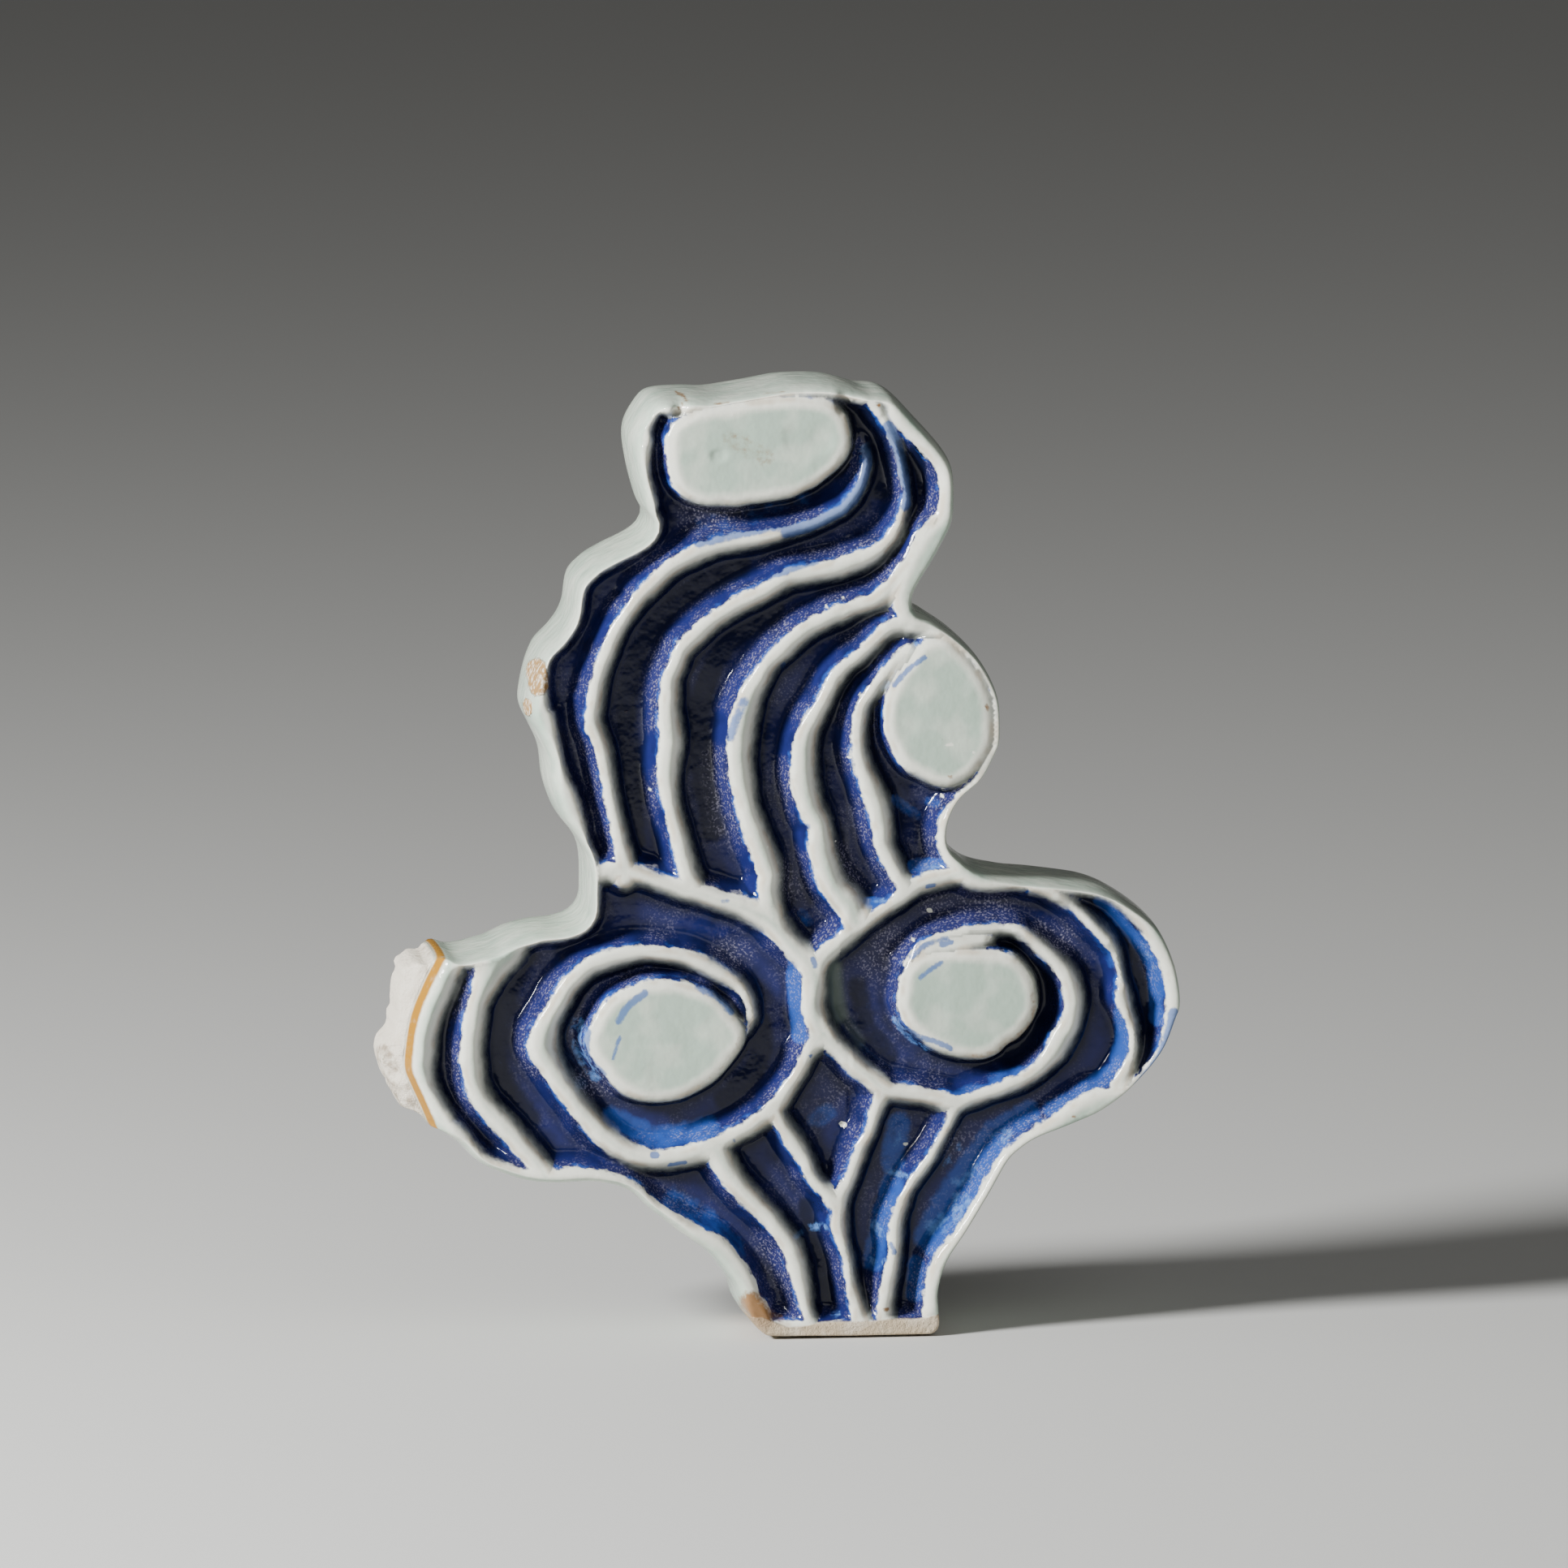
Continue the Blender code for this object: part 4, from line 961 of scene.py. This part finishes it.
# The broken arm, the line where its glaze ends and the bare foot
pit_where = ramp(ragged(marked("pitted"), 1.5, 0.8), 0.2, 0.7)
pit = maths("MULTIPLY", ramp(cloudy(1.7, 3.0, 0.6), 0.38, 0.66), pit_where)
clay = blend(maths("MULTIPLY", ramp(cloudy(2.5, 3.0), 0.5, 0.75), 0.12), BROKEN_CLAY, IRON_STAIN)
clay = blend(pit, clay, BROKEN_GREY)
broken = ramp(past_break, 0.25, 0.5)
colour = blend(broken, colour, clay)
iron = maths("MULTIPLY", ramp(ragged(past_break, 0.9, 0.2), -0.75, -0.4), falling(past_break, 0.1, 0.4))
iron = maths("MULTIPLY", iron, ramp(cloudy(3.0, 2.0), 0.05, 0.40))
colour = blend(iron, colour, IRON_LINE)
bare = falling(above_strip, -0.15, 0.15)
foot_clay = blend(maths("MULTIPLY", ramp(cloudy(3.0, 3.0), 0.45, 0.7), 0.4), BARE_CLAY, BROKEN_CLAY)
foot_clay = blend(maths("MULTIPLY", marked("stained"), 0.6), foot_clay, IRON_STAIN)
colour = blend(bare, colour, foot_clay)
links.new(colour, shader.inputs["Base Color"])

# The glaze is glossy, the bare clay is dull and gritty
dull = maths("MAXIMUM", maths("MAXIMUM", broken, bare), chip_face)
gloss = maths("MULTIPLY_ADD", cloudy(3.0), 0.1, 0.06)
links.new(maths("MAXIMUM", gloss, maths("MULTIPLY", dull, 0.8)), shader.inputs["Roughness"])

skin = cloudy(1.8, 2.0)
grit = cloudy(0.6, 4.0, 0.7)
height = maths("ADD", maths("MULTIPLY", skin, 0.10), maths("MULTIPLY", maths("MULTIPLY", grit, dull), 0.35))
bump = put("ShaderNodeBump", None, Strength=1.0, Distance=millimetre, Height=height)
links.new(bump, shader.inputs["Normal"])

finial_mesh.materials.append(glaze)
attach(finial, "root")
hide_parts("finial")


# The floor
# A plain sheet of pale paper that the finial stands on. It lies a hair below the foot.
FLOOR_HALF = 6.0
FLOOR_DROP = 0.0002
PALE_PAPER = (0.60, 0.60, 0.58, 1)
PAPER_ROUGHNESS = 0.8

floor_mesh = bpy.data.meshes.new("floor")
floor_mesh.from_pydata([
    (-FLOOR_HALF, -FLOOR_HALF, 0), (FLOOR_HALF, -FLOOR_HALF, 0),
    (FLOOR_HALF, FLOOR_HALF, 0), (-FLOOR_HALF, FLOOR_HALF, 0),
], [], [(0, 1, 2, 3)])
floor = bpy.data.objects.new("floor", floor_mesh)
bpy.context.scene.collection.objects.link(floor)
floor.location.z = -FLOOR_DROP
paper = bpy.data.materials.new("pale_floor")
paper.use_nodes = True
paper_shader = paper.node_tree.nodes["Principled BSDF"]
paper_shader.inputs["Base Color"].default_value = PALE_PAPER
paper_shader.inputs["Roughness"].default_value = PAPER_ROUGHNESS
floor_mesh.materials.append(paper)


# The light
# A soft lamp stands at the left and a little in front. A weak wide one and the room fill the shadows.
ROOM_COLOUR = (1.0, 0.99, 0.96, 1)
ROOM_STRENGTH = 0.07
middle = Vector(np.array([(foot_corner[i] + top_corner[i]) / 2 for i in range(3)]))


def lamp(name, size, power, azimuth, elevation, distance):
    """Hangs a round soft lamp, turned to the middle of the finial."""
    light = bpy.data.lights.new(name, "AREA")
    light.shape = "DISK"
    light.size = size
    light.energy = power
    obj = bpy.data.objects.new(name, light)
    a, e = math.radians(azimuth), math.radians(elevation)
    toward = Vector((math.sin(a) * math.cos(e), -math.cos(a) * math.cos(e), math.sin(e)))
    obj.location = middle + toward * distance
    obj.rotation_euler = toward.to_track_quat("Z", "Y").to_euler()
    bpy.context.scene.collection.objects.link(obj)


lamp("soft_key", size=0.2, power=18, azimuth=-64, elevation=26, distance=0.8)
lamp("weak_fill", size=0.8, power=1.6, azimuth=28, elevation=42, distance=1.0)
world = bpy.data.worlds.new("room")
world.use_nodes = True
world.node_tree.nodes["Background"].inputs["Color"].default_value = ROOM_COLOUR
world.node_tree.nodes["Background"].inputs["Strength"].default_value = ROOM_STRENGTH
bpy.context.scene.world = world


# The camera
# It looks as the drawing is seen, a little from the left and from above, from far enough off to be flat.
CAMERA_OFF = 2.3
PICTURE_WIDE_MM = 193.2
PICTURE_MIDDLE = np.array([[-7.1, 67.4]])
SENSOR_WIDE = 36
SEES_AS_FAR_AS = 50

camera_data = bpy.data.cameras.new("camera")
camera_data.sensor_width = SENSOR_WIDE
camera_data.lens = SENSOR_WIDE * CAMERA_OFF / (PICTURE_WIDE_MM * millimetre)
camera_data.clip_end = SEES_AS_FAR_AS
camera = bpy.data.objects.new("camera", camera_data)
aim = as_cut(PICTURE_MIDDLE, 0)[0] * millimetre
off_the_piece = Vector((
    -math.sin(seen_from_left) * math.cos(seen_from_above),
    -math.cos(seen_from_left) * math.cos(seen_from_above),
    math.sin(seen_from_above),
))
camera.location = Vector((aim[0], 0, aim[1])) + off_the_piece * CAMERA_OFF
camera.rotation_euler = off_the_piece.to_track_quat("Z", "Y").to_euler()
bpy.context.scene.collection.objects.link(camera)
bpy.context.scene.camera = camera
